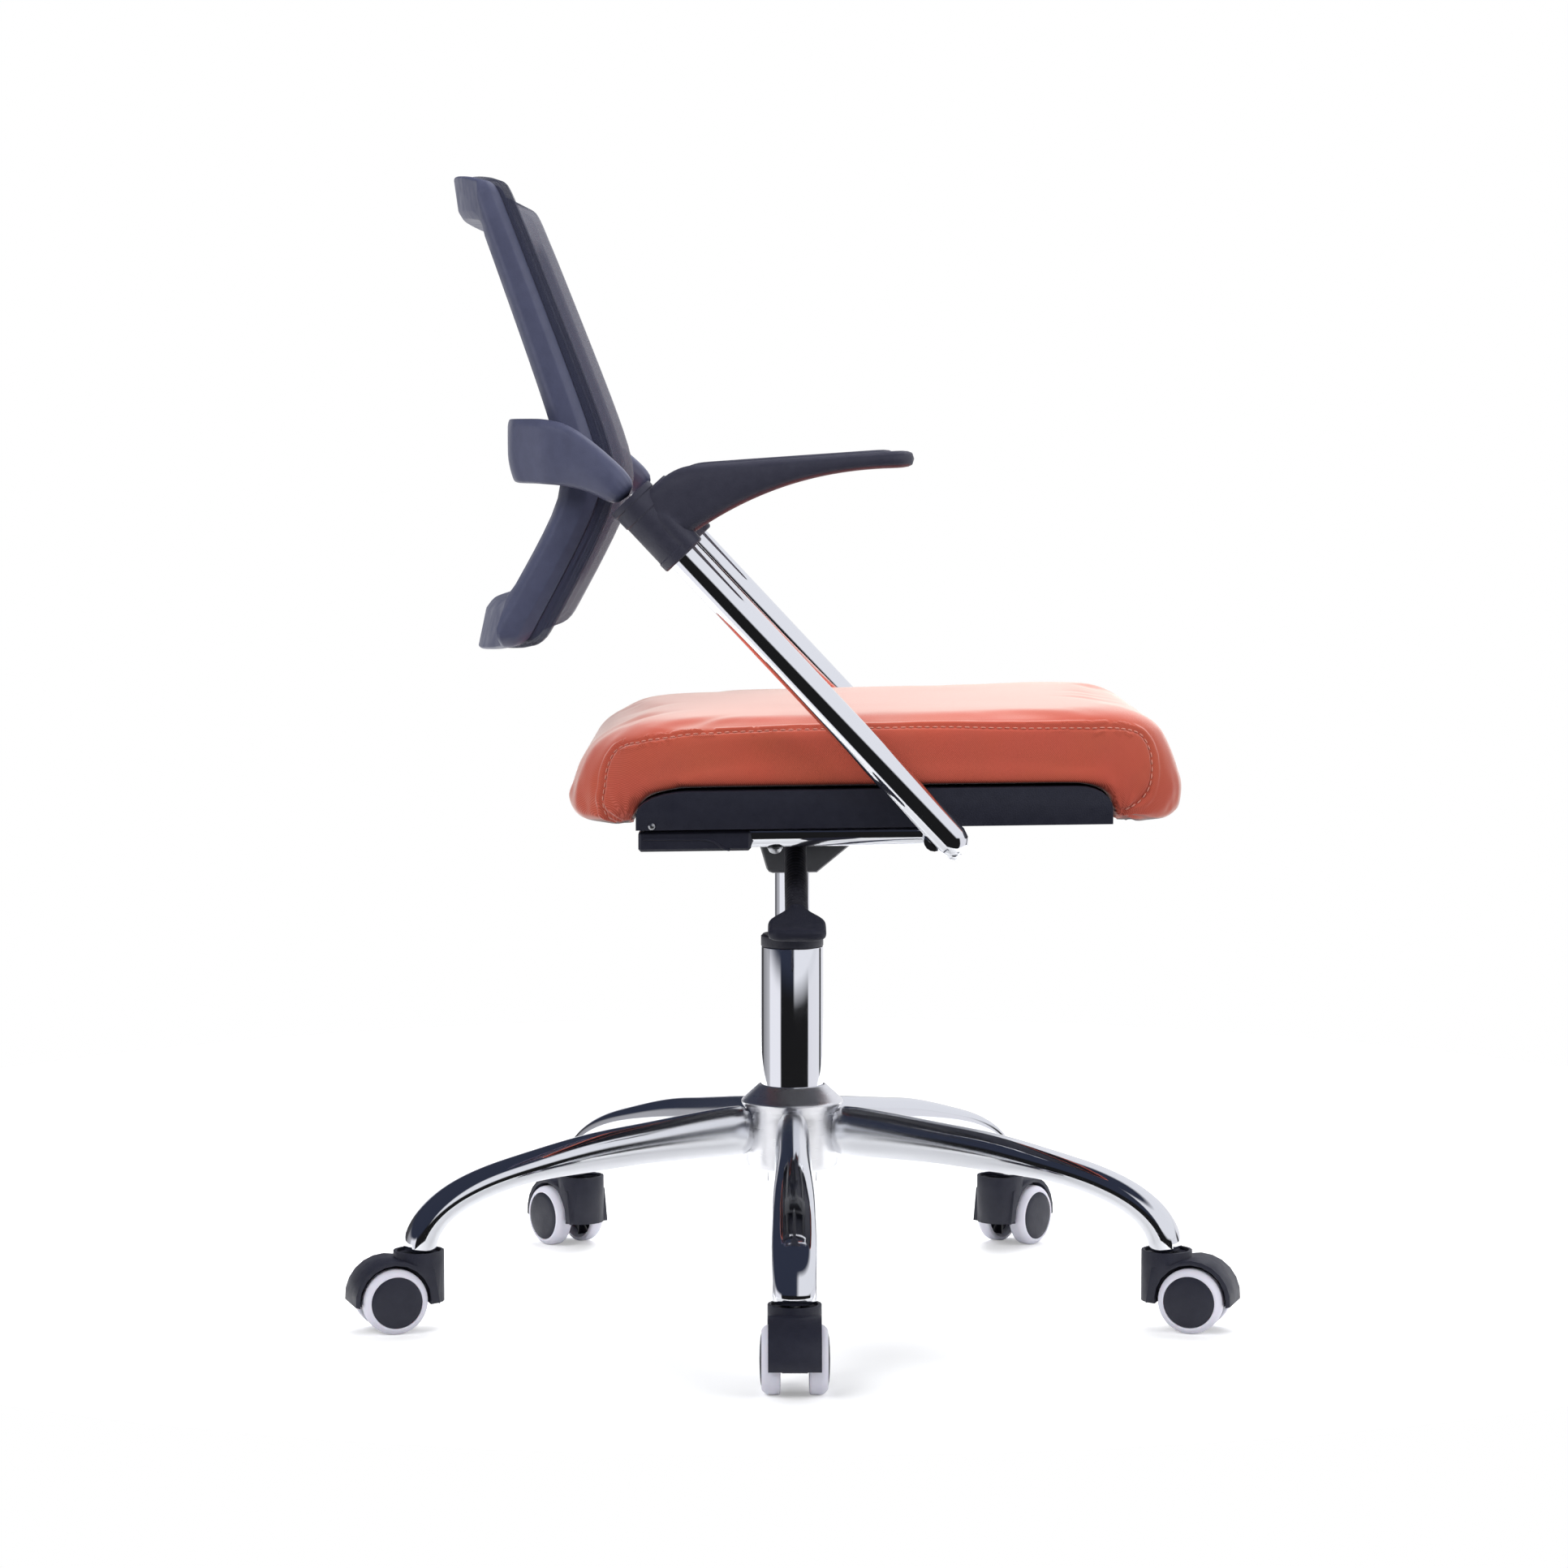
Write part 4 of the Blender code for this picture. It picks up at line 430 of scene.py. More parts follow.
def leg_angle(number):
    """The legs are counted from the one that points to the chair's right."""
    return -pi / 2 + (number - 1) * 2 * pi / LEG_COUNT


for number in range(1, LEG_COUNT + 1):
    turned = Matrix.Rotation(leg_angle(number), 4, "Z")
    leg = copy_of(leg_form, f"base_leg_casting_{number}", Matrix.Translation(AXIS) @ turned)
    settle(leg, polished, "base", "polished_alloy", f"base_leg_{number}")
discard(leg_form)

# Column and gas lift: a chromed steel tube wedged in the hub, a black guide bush in its mouth, and
# the lift's slim chromed cylinder, which rises out of the bush into the plate under the seat.


def merged_copy(node, name):
    """A copy of a solid with its loose triangles merged, still in edit mode."""
    pick(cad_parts[node])
    bpy.ops.object.duplicate()
    piece = bpy.context.object
    piece.name = name
    piece.parent = None
    for key in list(piece.keys()):
        del piece[key]
    bpy.ops.object.mode_set(mode="EDIT")
    bpy.ops.mesh.select_all(action="SELECT")
    bpy.ops.mesh.remove_doubles(threshold=0.00001)
    bpy.ops.mesh.customdata_custom_splitnormals_clear()
    return piece


def smoothed(node, name, body, finish, slot, edge=0.0, angle=35, flat=1.0):
    """A merged copy of a solid with its edges eased, which stands for it."""
    piece = merged_copy(node, name)
    bpy.ops.mesh.dissolve_limited(angle_limit=radians(flat))
    bpy.ops.object.mode_set(mode="OBJECT")
    if edge:
        apply_step(piece, "BEVEL", width=edge, segments=2, limit_method="ANGLE", angle_limit=radians(50))
    shade(piece, angle)
    return settle(piece, finish, body, slot, node)


chrome, shader = new_finish("chrome_plate", {"Base Color": (0.84, 0.85, 0.88, 1), "Metallic": 1.0})
breath = roughen(shader, 45, 0.025, 0.085, 6.0)
raise_grain(shader, breath, 0.02, 0.0003)


def tool_grain(shader, scale, strength, distance):
    """The fine pebbled grain that an etched mould leaves."""
    place = add_node(shader.id_data, "TexCoord").outputs["Object"]
    pebbles = add_node(shader.id_data, "TexVoronoi", {"Vector": place, "Scale": scale})
    raise_grain(shader, pebbles, strength, distance)


moulded, shader = new_finish("moulded_black", {"Specular IOR Level": 0.38})
tint(shader, 160, (0.0144, 0.0150, 0.0252), (0.0228, 0.0240, 0.0384))
roughen(shader, 60, 0.40, 0.58)
tool_grain(shader, 950, 0.22, 0.0004)

zinc, shader = new_finish("zinc_plate", {"Metallic": 1.0})
tint(shader, 70, (0.40, 0.41, 0.43), (0.56, 0.57, 0.58))
roughen(shader, 120, 0.25, 0.45)

smoothed("column_tube", "column_chrome_tube", "base", chrome, "chrome", 0.0006)
smoothed("column_bush", "column_guide_bush", "base", moulded, "black_plastic", 0.0006)
smoothed("thrust_bearing", "column_thrust_bearing", "base", zinc, "zinc_steel")
smoothed("piston_rod", "lift_piston_rod", "lift_rod", zinc, "zinc_steel")
smoothed("gas_cylinder", "lift_gas_cylinder", "seat", chrome, "chrome")
smoothed("release_button", "lift_release_button", "button", zinc, "zinc_steel", 0.0003)

# Casters: black nylon hoods on plain steel stems, each with two wheels that have a pale soft tread
# round a dark hub with a domed outer face and ribs inside.
CASTER_CIRCLE = 0.308
CASTER_TRAIL = 0.023
WHEEL_RADIUS = 0.0255
WHEEL_INNER_FACE = 0.01025
WHEEL_SIDES = 56
TREAD_PROFILE = [
    (0.0195, 0.0045), (0.0226, 0.0002), (0.0246, 0.0004), (0.0254, 0.0014),
    (0.0255, 0.0026), (0.0255, 0.0086), (0.0252, 0.0102), (0.0243, 0.0118),
    (0.0226, 0.0134), (0.0212, 0.0141), (0.0203, 0.0138), (0.0200, 0.0120),
]
CORE_PROFILE = [
    (0.0012, 0.0156), (0.0090, 0.0154), (0.0155, 0.0149), (0.0188, 0.0143),
    (0.0199, 0.0136), (0.0199, 0.0066), (0.0072, 0.0066), (0.0072, 0.0006),
    (0.0036, 0.0006),
]
CORE_RIBS, RIB_SIZE, RIB_MIDDLE = 8, (0.0130, 0.0016, 0.0046), (0.0134, 0.0046)

tread_finish, shader = new_finish("pale_tread", {"Subsurface Weight": 0.08, "Subsurface Scale": 0.004})
tint(shader, 60, (0.66, 0.65, 0.74), (0.76, 0.75, 0.83))
roughen(shader, 90, 0.34, 0.52)

tread_form = lathe("tread_form", TREAD_PROFILE, WHEEL_SIDES)
shade(tread_form, 50)
core_form = lathe("core_form", CORE_PROFILE, WHEEL_SIDES, closed=False)
bpy.ops.object.mode_set(mode="EDIT")
for angle in ring_angles(CORE_RIBS):
    bpy.ops.mesh.primitive_cube_add(
        size=1,
        location=(RIB_MIDDLE[0] * cos(angle), RIB_MIDDLE[0] * sin(angle), RIB_MIDDLE[1]),
        rotation=(0, 0, angle),
        scale=RIB_SIZE,
    )
bpy.ops.object.mode_set(mode="OBJECT")
shade(core_form, 40)

for number in range(1, LEG_COUNT + 1):
    caster = f"caster_{number}"
    smoothed(f"caster_hood_{number}", f"{caster}_hood", caster, moulded, "black_plastic", 0.0010)
    smoothed(f"caster_stem_{number}", f"{caster}_stem", caster, zinc, "zinc_steel", 0.0005)
    smoothed(f"caster_axle_{number}", f"{caster}_axle", caster, zinc, "zinc_steel")
    angle = leg_angle(number)
    outward = Vector((cos(angle), sin(angle), 0))
    across = Vector((-sin(angle), cos(angle), 0))
    middle = AXIS + outward * (CASTER_CIRCLE + CASTER_TRAIL) + Vector((0, 0, WHEEL_RADIUS))
    for letter, side in (("a", -1), ("b", 1)):
        axle = side * across
        laid = Matrix((outward, axle.cross(outward), axle)).transposed().to_4x4()
        laid = Matrix.Translation(middle + axle * WHEEL_INNER_FACE) @ laid
        wheel = f"wheel_{number}_{letter}"
        tread = copy_of(tread_form, f"caster_tread_{number}_{letter}", laid)
        settle(tread, tread_finish, wheel, "pale_tread", f"caster_wheel_{number}_{letter}")
        core = copy_of(core_form, f"caster_core_{number}_{letter}", laid)
        settle(core, moulded, wheel, "black_plastic")
discard(tread_form, core_form)

# Seat frame: a pressed and painted lift plate, two cross tubes and two chromed side rails, with a
# moulded trough clipped under the rear half of each rail.
painted, shader = new_finish("painted_steel")
tint(shader, 80, (0.020, 0.021, 0.026), (0.034, 0.035, 0.042))
roughen(shader, 40, 0.34, 0.50)
place = add_node(painted.node_tree, "TexCoord").outputs["Object"]
peel = add_node(painted.node_tree, "TexNoise", {"Vector": place, "Scale": 420})
raise_grain(shader, peel, 0.12, 0.0003)

smoothed("lift_plate", "seat_lift_plate", "seat", painted, "painted_steel", 0.0008)
for end in ("rear", "front"):
    smoothed(f"cross_tube_{end}", f"seat_cross_tube_{end}", "seat", painted, "painted_steel", 0.0003)
HANDS = (("right", -1), ("left", 1))
RIDGE_RADIUS, RIDGE_SIDES = 0.0009, 8
RIDGE_RUN = [(-0.1125, 0.3965), (-0.0900, 0.3965), (-0.0700, 0.3965)]
RIDGE_RUN += [(-0.0650, 0.3962), (-0.0610, 0.3951), (-0.0575, 0.3932)]
RIDGE_RUN += [(-0.0545, 0.3908), (-0.0515, 0.3892), (-0.0480, 0.3885)]
for hand, side in HANDS:
    smoothed(f"seat_rail_{hand}", f"seat_chrome_rail_{hand}", "seat", chrome, "chrome", 0.0004)
    smoothed(f"rail_cover_{hand}", f"seat_rail_trough_{hand}", "seat", moulded, "black_plastic", 0.0006)
    smoothed(f"arm_tube_{hand}", f"arm_chrome_tube_{hand}", "seat", chrome, "chrome")
    low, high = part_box(f"rail_cover_{hand}")
    face = low[1] if side < 0 else high[1]
    ridge_rings = []
    for number, (x, z) in enumerate(RIDGE_RUN):
        before, after = RIDGE_RUN[max(number - 1, 0)], RIDGE_RUN[min(number + 1, len(RIDGE_RUN) - 1)]
        run = hypot(after[0] - before[0], after[1] - before[1])
        rise = Vector((before[1] - after[1], 0, after[0] - before[0])) / run
        middle = Vector((x, face, z))
        ways = [rise * sin(angle) + Vector((0, cos(angle), 0)) for angle in ring_angles(RIDGE_SIDES)]
        ridge_rings.append([middle + RIDGE_RADIUS * way for way in ways])
    ridge = sweep(f"seat_trough_ridge_{hand}", ridge_rings)
    shade(ridge, 60)
    settle(ridge, moulded, "seat", "black_plastic")

# Armrests: a nylon moulding on each slanted tube. A split sleeve with a collar at both ends grips the
# tube, and the arm grows out of it, deep at the heel and thin at its flat tip.
TUBE_FOOT = Vector((0.117, 0.249, 0.398))
TUBE_SLANT = radians(46.8)
SLEEVE_START, SLEEVE_END = 0.289, 0.348
SLEEVE_PROFILE = [
    (0.0168, 0.0000), (0.0178, 0.0010), (0.0180, 0.0070), (0.0173, 0.0078),
    (0.0173, 0.0420), (0.0180, 0.0430), (0.0181, 0.0535), (0.0187, 0.0543),
    (0.0187, 0.0582), (0.0179, 0.0590),
]
BORE_PROFILE = [(0.01315, -0.03), (0.01315, 0.11)]
CLAMP_PROFILE = [
    (0.0088, 0.0006), (0.0098, 0.0016), (0.0098, 0.0230), (0.0093, 0.0290),
    (0.0080, 0.0345), (0.0058, 0.0390), (0.0030, 0.0418), (0.0006, 0.0425),
]
CLAMP_FORWARD, CLAMP_OUTWARD = 0.0082, 0.0086
ARM_HEEL_X, ARM_TIP_X = -0.1160, 0.0886
ARM_HEEL_TOP, ARM_TIP_TOP, ARM_TIP_LOW = 0.6728, 0.6868, 0.6732
ARM_HEEL_DROP, ARM_HEEL_SHARE = 0.0275, 0.20
ARM_DEPTH, ARM_HOLLOW = 0.082, 2.35
ARM_STATIONS, ARM_SIDES, ARM_SQUARENESS = 26, 20, 0.55
ARM_HEEL_WIDTH, ARM_TIP_WIDTH, ARM_WIDENING = 0.030, 0.052, 1.6
ARM_TIP_ROUND, ARM_TIP_SHARE, ARM_HEEL_ROUND, ARM_HEEL_NARROW = 0.980, 0.65, 12, 0.75
ARM_UNDER_AXIS, ARM_LEAST, ARM_CROWDING = 0.004, 0.006, 1.15


def tube_point(distance, side):
    """A point on a slanted tube's axis, measured from its foot."""
    y = AXIS.y + side * TUBE_FOOT.y
    return Vector((TUBE_FOOT.x - cos(TUBE_SLANT) * distance, y, TUBE_FOOT.z + sin(TUBE_SLANT) * distance))


def laid_along(start, end):
    """Takes a piece made upright on the origin to a start point, with its Z towards an end point."""
    return Matrix.Translation(start) @ (end - start).to_track_quat("Z", "Y").to_matrix().to_4x4()


def carve(piece, work, form, laid):
    """Joins a form to a piece or takes it away, at its place, and drops the form."""
    form.data.transform(laid)
    apply_step(piece, "BOOLEAN", operation=work, object=form)
    discard(form)


def arm_section(t):
    """Top and underside of the arm at t, from heel to tip."""
    x = ARM_HEEL_X + (ARM_TIP_X - ARM_HEEL_X) * t
    top = ARM_HEEL_TOP + (ARM_TIP_TOP - ARM_HEEL_TOP) * t
    top -= ARM_HEEL_DROP * max(0.0, 1 - t / ARM_HEEL_SHARE) ** 2
    on_axis = TUBE_FOOT.z + (TUBE_FOOT.x - x) * tan(TUBE_SLANT)
    low = ARM_TIP_LOW - ARM_DEPTH * (1 - t) ** ARM_HOLLOW
    return x, top, max(low, min(on_axis - ARM_UNDER_AXIS, top - ARM_LEAST))


nylon, shader = new_finish("arm_nylon")
tint(shader, 150, (0.0307, 0.0307, 0.0496), (0.0472, 0.0472, 0.0708))
roughen(shader, 60, 0.42, 0.58)
tool_grain(shader, 800, 0.25, 0.0004)
for hand, side in HANDS:
    arm_rings = []
    for row in range(ARM_STATIONS + 1):
        t = (row / ARM_STATIONS) ** ARM_CROWDING
        x, top, low = arm_section(t)
        past = max(0.0, t - ARM_TIP_ROUND) / (1 - ARM_TIP_ROUND)
        pinch = ARM_TIP_SHARE + (1 - ARM_TIP_SHARE) * sqrt(max(0.0, 1 - past**2))
        width = ARM_HEEL_WIDTH + (ARM_TIP_WIDTH - ARM_HEEL_WIDTH) * min(1.0, ARM_WIDENING * t)
        heel = ARM_HEEL_NARROW + (1 - ARM_HEEL_NARROW) * min(1.0, ARM_HEEL_ROUND * t)
        half_width = 0.5 * width * heel * pinch
        half_height = (top - low) / 2 * (1 - ARM_TIP_SHARE + ARM_TIP_SHARE * pinch)
        arm_ring = []
        for angle in ring_angles(ARM_SIDES):
            y = AXIS.y + side * TUBE_FOOT.y + half_width * squared(cos(angle), ARM_SQUARENESS)
            arm_ring.append((x, y, (top + low) / 2 + half_height * squared(sin(angle), ARM_SQUARENESS)))
        arm_rings.append(arm_ring)
    arm = sweep(f"armrest_moulding_{hand}", arm_rings)
    apply_step(arm, "SUBSURF", levels=1, render_levels=1)
    along_tube = laid_along(tube_point(SLEEVE_START, side), tube_point(SLEEVE_END, side))
    beside = Vector((sin(TUBE_SLANT), 0, cos(TUBE_SLANT))) * CLAMP_FORWARD
    beside.y = side * CLAMP_OUTWARD
    forms = [
        ("UNION", SLEEVE_PROFILE, 48, along_tube),
        ("UNION", CLAMP_PROFILE, 32, Matrix.Translation(beside) @ along_tube),
        ("DIFFERENCE", BORE_PROFILE, 48, along_tube),
    ]
    for work, profile, sides, laid in forms:
        carve(arm, work, lathe("sleeve_form", profile, sides, closed=False), laid)
    shade(arm, 34)
    settle(arm, nylon, "seat", "black_plastic", f"armrest_{hand}")

# Yoke: one glass-filled moulding that plugs into both slanted tubes and runs round behind the back
# as a beam with a chamfered lower corner. The back hangs between its ends.
PIVOT = Vector((-0.1650, AXIS.y, 0.6830))
YOKE_FACE, BOSS_ROOM, BOSS_LENGTH, SLEEVE_GAP = 0.221, 0.0130, 0.05, 0.0003
BEAM_REAR, BEAM_BOW, BEAM_RISE = -0.2225, 0.012, 0.0025
BEAM_HIGH, BEAM_THICK = 0.024, 0.0075
YOKE_OUTLINE = [
    (1.00, 0.10), (1.00, 0.68), (0.97, 0.84), (0.56, 1.00), (0.00, 1.00),
    (-0.72, 1.00), (-0.95, 0.86), (-1.00, 0.55), (-1.00, 0.00), (-1.00, -0.55),
    (-0.92, -0.88), (-0.62, -1.00), (0.00, -1.00), (0.52, -1.00), (0.66, -0.92),
    (0.98, -0.34),
]

slate, shader = new_finish("slate_moulding", {"Specular IOR Level": 0.6})
tint(shader, 130, (0.070, 0.076, 0.131), (0.097, 0.105, 0.180))
roughen(shader, 70, 0.36, 0.50)
tool_grain(shader, 1100, 0.16, 0.0003)


def beam_point(y):
    return Vector((BEAM_REAR + BEAM_BOW * (y / YOKE_FACE) ** 2 + BEAM_THICK, y, PIVOT.z + BEAM_RISE))


def near_pivot(x, y, z):
    return Vector((PIVOT.x + x, y, PIVOT.z + z))


up, outward = Vector((0, 0, 1)), Vector((0, 1, 0))
across = Vector((sin(TUBE_SLANT), 0, cos(TUBE_SLANT)))
tube_end = tube_point(SLEEVE_END + SLEEVE_GAP, 1)
tube_end.y -= AXIS.y
beam_corner = beam_point(YOKE_FACE) + Vector((0.014, 0.004, 0))
# Each station: its middle, the ways up and out, half its height and thickness, its lean and squareness.
YOKE_STATIONS = [
    (tube_end, across, outward, 0.0130, 0.0135, 0.0, 0.0),
    (near_pivot(0.0230, 0.2445, -0.0145), up + across * 0.8, outward, 0.0155, 0.0135, 0.0, 0.3),
    (near_pivot(0.0065, 0.2375, -0.0050), up + across * 0.36, outward, 0.0200, 0.0135, 0.0, 0.6),
    (near_pivot(-0.0080, 0.2335, 0.0010), up + across * 0.14, outward, 0.0235, 0.0125, 0.0, 0.9),
    (near_pivot(-0.0220, 0.2310, 0.0022), up, Vector((-0.25, 0.97, 0)), BEAM_HIGH, 0.0100, 0.001, 1.0),
    (beam_corner, up, Vector((-0.62, 0.78, 0)), BEAM_HIGH, 0.0090, 0.004, 1.0),
    (beam_point(YOKE_FACE - 0.017), up, Vector((-0.93, 0.36, 0)), BEAM_HIGH, BEAM_THICK, 0.009, 1.0),
    (beam_point(YOKE_FACE - 0.050), up, Vector((-0.99, 0.13, 0)), BEAM_HIGH, BEAM_THICK, 0.010, 1.0),
    (beam_point(YOKE_FACE * 0.5), up, Vector((-1, 0.03, 0)), BEAM_HIGH, BEAM_THICK, 0.009, 1.0),
    (beam_point(0), up, Vector((-1, 0, 0)), BEAM_HIGH, BEAM_THICK, 0.009, 1.0),
]
half_rings = []
for centre, high, thick, a, b, wedge, squareness in YOKE_STATIONS:
    high = high.normalized()
    yoke_ring = []
    for angle, (out, rise) in zip(ring_angles(len(YOKE_OUTLINE)), YOKE_OUTLINE):
        out += (cos(angle) - out) * (1 - squareness)
        rise += (sin(angle) - rise) * (1 - squareness)
        inward = wedge * rise * (1 - out) / 2
        yoke_ring.append(centre + high * (a * rise) + thick * (b * out + inward))
    half_rings.append(yoke_ring)
mirrored = [[Vector((p.x, -p.y, p.z)) for p in one] for one in half_rings[:-1]]
yoke = sweep("back_yoke_moulding", half_rings + mirrored[::-1])
yoke.data.transform(Matrix.Translation((0, AXIS.y, 0)))
apply_step(yoke, "SUBSURF", levels=2, render_levels=2)
for hand, side in HANDS:
    room = lathe("boss_room", [(BOSS_ROOM, 0.0), (BOSS_ROOM, BOSS_LENGTH)], 32, closed=False)
    face = Vector((PIVOT.x, AXIS.y + side * YOKE_FACE, PIVOT.z))
    carve(yoke, "DIFFERENCE", room, laid_along(face - Vector((0, side * BOSS_LENGTH, 0)), face))
shade(yoke, 32)
settle(yoke, slate, "seat", "slate_plastic", "back_yoke")
for hand, side in HANDS:
    smoothed(f"pivot_pin_{hand}", f"back_pivot_pin_{hand}", "seat", zinc, "zinc_steel", 0.0004)
    smoothed(f"return_spring_{hand}", f"back_return_spring_{hand}", "seat", zinc, "zinc_steel")

# Back frame: a moulded ring with a rounded rear, a flat flank, a raised crease and a band that slopes
# in to the cover, deepest low down, with a boss at each side that turns on the pivot pin.
BACK_HALF, BACK_TOP, BACK_LOW = 0.210, 0.898, 0.531
BACK_CORNER, BACK_INNER_CORNER = 0.014, 0.012
BACK_ARCH_TOP, BACK_ARCH_LOW = 0.012, 0.008
BACK_ROLL_TOP, BACK_ROLL_LOW = 0.003, 0.006
APEX_X, APEX_Z, APEX_BLEND = -0.133, 0.660, 0.025
LEAN_ABOVE, LEAN_BELOW, BACK_HOLLOW = tan(radians(22.05)), tan(radians(28.6)), 0.028
FRAME_WIDTH, FRAME_TOP_EXTRA, FRAME_LOW_EXTRA = 0.029, 0.004, 0.010
FRAME_DEPTH_TOP, FRAME_DEPTH_LOW, FRAME_DEPTH_HEAD, FRAME_DEPTH_BASE = 0.026, 0.042, 0.0265, 0.038
CREASE_SHARE, BAND_SHARE, BAND_DEPTH, FRONT_SHARE, FRONT_TAPER = 0.55, 0.14, 0.29, 0.42, 0.28
REAR_SHARE, REAR_TAPER, INNER_SHARE = 0.90, 0.22, 0.72
FRONT_SET_BACK, LIP_SET_BACK, LIP_EDGE, LIP_SHARE, BAND_GROOVE = 0.0025, 0.0015, 0.005, 0.86, 0.08
CORNER_STEPS, SIDE_STEPS, END_STEPS = 6, 20, 22
BOSS_PROFILE = [(0.0115, 0.0), (0.0120, 0.0006), (0.0120, 0.036)]
BOSS_GAP = 0.0003


def back_surface(y, z):
    """How far forward the back's front face lies: two leaning runs that meet in a rounded apex."""
    rise = z - APEX_Z
    bow = sqrt(rise * rise + APEX_BLEND**2) - APEX_BLEND
    set_back = (LEAN_ABOVE + LEAN_BELOW) / 2 * bow + (LEAN_ABOVE - LEAN_BELOW) / 2 * rise
    return APEX_X - set_back - BACK_HOLLOW * (1 - (y / BACK_HALF) ** 2)


def arched(y, z):
    """The top edge falls towards the corners and the bottom edge rises."""
    side = (y / BACK_HALF) ** 2
    if z > APEX_Z:
        return z - BACK_ARCH_TOP * side * (z - APEX_Z) / (BACK_TOP - APEX_Z)
    return z + BACK_ARCH_LOW * side * (APEX_Z - z) / (APEX_Z - BACK_LOW)


def rolled(z):
    """How far the front curls back at the top and bottom edges, on a quarter circle."""
    curl = 0.0
    for over, radius in ((z - BACK_TOP, BACK_ROLL_TOP), (BACK_LOW - z, BACK_ROLL_LOW)):
        share = min(max(1 + over / radius, 0.0), 1.0)
        curl += radius * (1 - sqrt(1 - share * share))
    return curl


def back_point(y, z, depth):
    z = arched(y, z)
    return Vector((back_surface(y, z) + depth, AXIS.y + y, z))


def rounded_rectangle(half, low, high, corner):
    """Points and outward directions round a rectangle with rounded corners, seen from the front."""
    corners = [(half - corner, high - corner, 0), (corner - half, high - corner, 90)]
    corners += [(corner - half, low + corner, 180), (half - corner, low + corner, 270)]
    points = []
    for number, (y, z, first) in enumerate(corners):
        for step in range(CORNER_STEPS + 1):
            angle = radians(first + 90 * step / CORNER_STEPS)
            points.append((y + corner * cos(angle), z + corner * sin(angle), cos(angle), sin(angle)))
        following = corners[(number + 1) % 4]
        turn = radians(following[2])
        aim = (following[0] + corner * cos(turn), following[1] + corner * sin(turn))
        start = points[-1]
        steps = END_STEPS if number % 2 == 0 else SIDE_STEPS
        for step in range(1, steps):
            y, z = part_way(start, aim, step / steps)
            points.append((y, z, cos(turn), sin(turn)))
    return points


def part_way(first, second, share):
    return first[0] + (second[0] - first[0]) * share, first[1] + (second[1] - first[1]) * share


def frame_stations():
    """The frame's outer edge, paired point by point with its inner edge, and the outward direction."""
    outer = rounded_rectangle(BACK_HALF, BACK_LOW, BACK_TOP, BACK_CORNER)
    low = BACK_LOW + FRAME_WIDTH + FRAME_LOW_EXTRA
    high = BACK_TOP - FRAME_WIDTH - FRAME_TOP_EXTRA
    inner = rounded_rectangle(BACK_HALF - FRAME_WIDTH, low, high, BACK_INNER_CORNER)
    stations = []
    for (y, z, out_y, out_z), (inner_y, inner_z, _, _) in zip(outer, inner):
        if abs(out_y) > 0.999:
            z = inner_z
        elif abs(out_z) > 0.999:
            y = inner_y
        stations.append(((y, z), (inner_y, inner_z), (out_y, out_z)))
    return stations


def frame_depth(z, out_y):
    """The side rails grow deeper towards the bottom, and the rails across have a depth of their own."""
    side = FRAME_DEPTH_TOP + (FRAME_DEPTH_LOW - FRAME_DEPTH_TOP) * (BACK_TOP - z) / (BACK_TOP - BACK_LOW)
    across = FRAME_DEPTH_HEAD if z > APEX_Z else FRAME_DEPTH_BASE
    return across + (side - across) * out_y * out_y


def front_shares(out_z):
    """Where the sloping band ends and where the flat front begins, as shares of the frame's width."""
    front = FRONT_SHARE - FRONT_TAPER * out_z * out_z
    return BAND_SHARE * front / FRONT_SHARE, front


frame_rings = []
for outer, inner, (out_y, out_z) in frame_stations():
    deep = frame_depth(outer[1], out_y)
    end = out_z * out_z
    band, front = front_shares(out_z)
    rear = (REAR_SHARE - REAR_TAPER * end) * deep
    back = (1 - REAR_TAPER * end) * deep
    section = [
        (0.0, -rear),
        (0.0, -CREASE_SHARE * deep),
        (band, -BAND_DEPTH * deep - rolled(outer[1])),
        (band + BAND_GROOVE, -BAND_DEPTH * deep - rolled(outer[1])),
        (front, -FRONT_SET_BACK - rolled(outer[1])),
        (LIP_SHARE, -LIP_SET_BACK),
        (1.0, -LIP_EDGE),
        (1.0, -(INNER_SHARE + REAR_TAPER * end) * deep),
        (0.93, -deep + 0.001),
        (0.80, -deep),
        (0.13, -back),
        (0.04, -0.3 * rear - 0.7 * back),
    ]
    frame_rings.append([back_point(*part_way(outer, inner, share), reach) for share, reach in section])
ring_frame = sweep("back_frame_moulding", frame_rings, loop=True)
apply_step(ring_frame, "BEVEL", width=0.0010, segments=2, limit_method="ANGLE", angle_limit=radians(24))
for hand, side in HANDS:
    boss = lathe("boss_form", BOSS_PROFILE, 40, closed=False)
    face = Vector((PIVOT.x, AXIS.y + side * (YOKE_FACE - BOSS_GAP), PIVOT.z))
    carve(ring_frame, "UNION", boss, laid_along(face, face - Vector((0, side, 0))))
shade(ring_frame, 26)
settle(ring_frame, slate, "back", "slate_plastic", "back_frame")

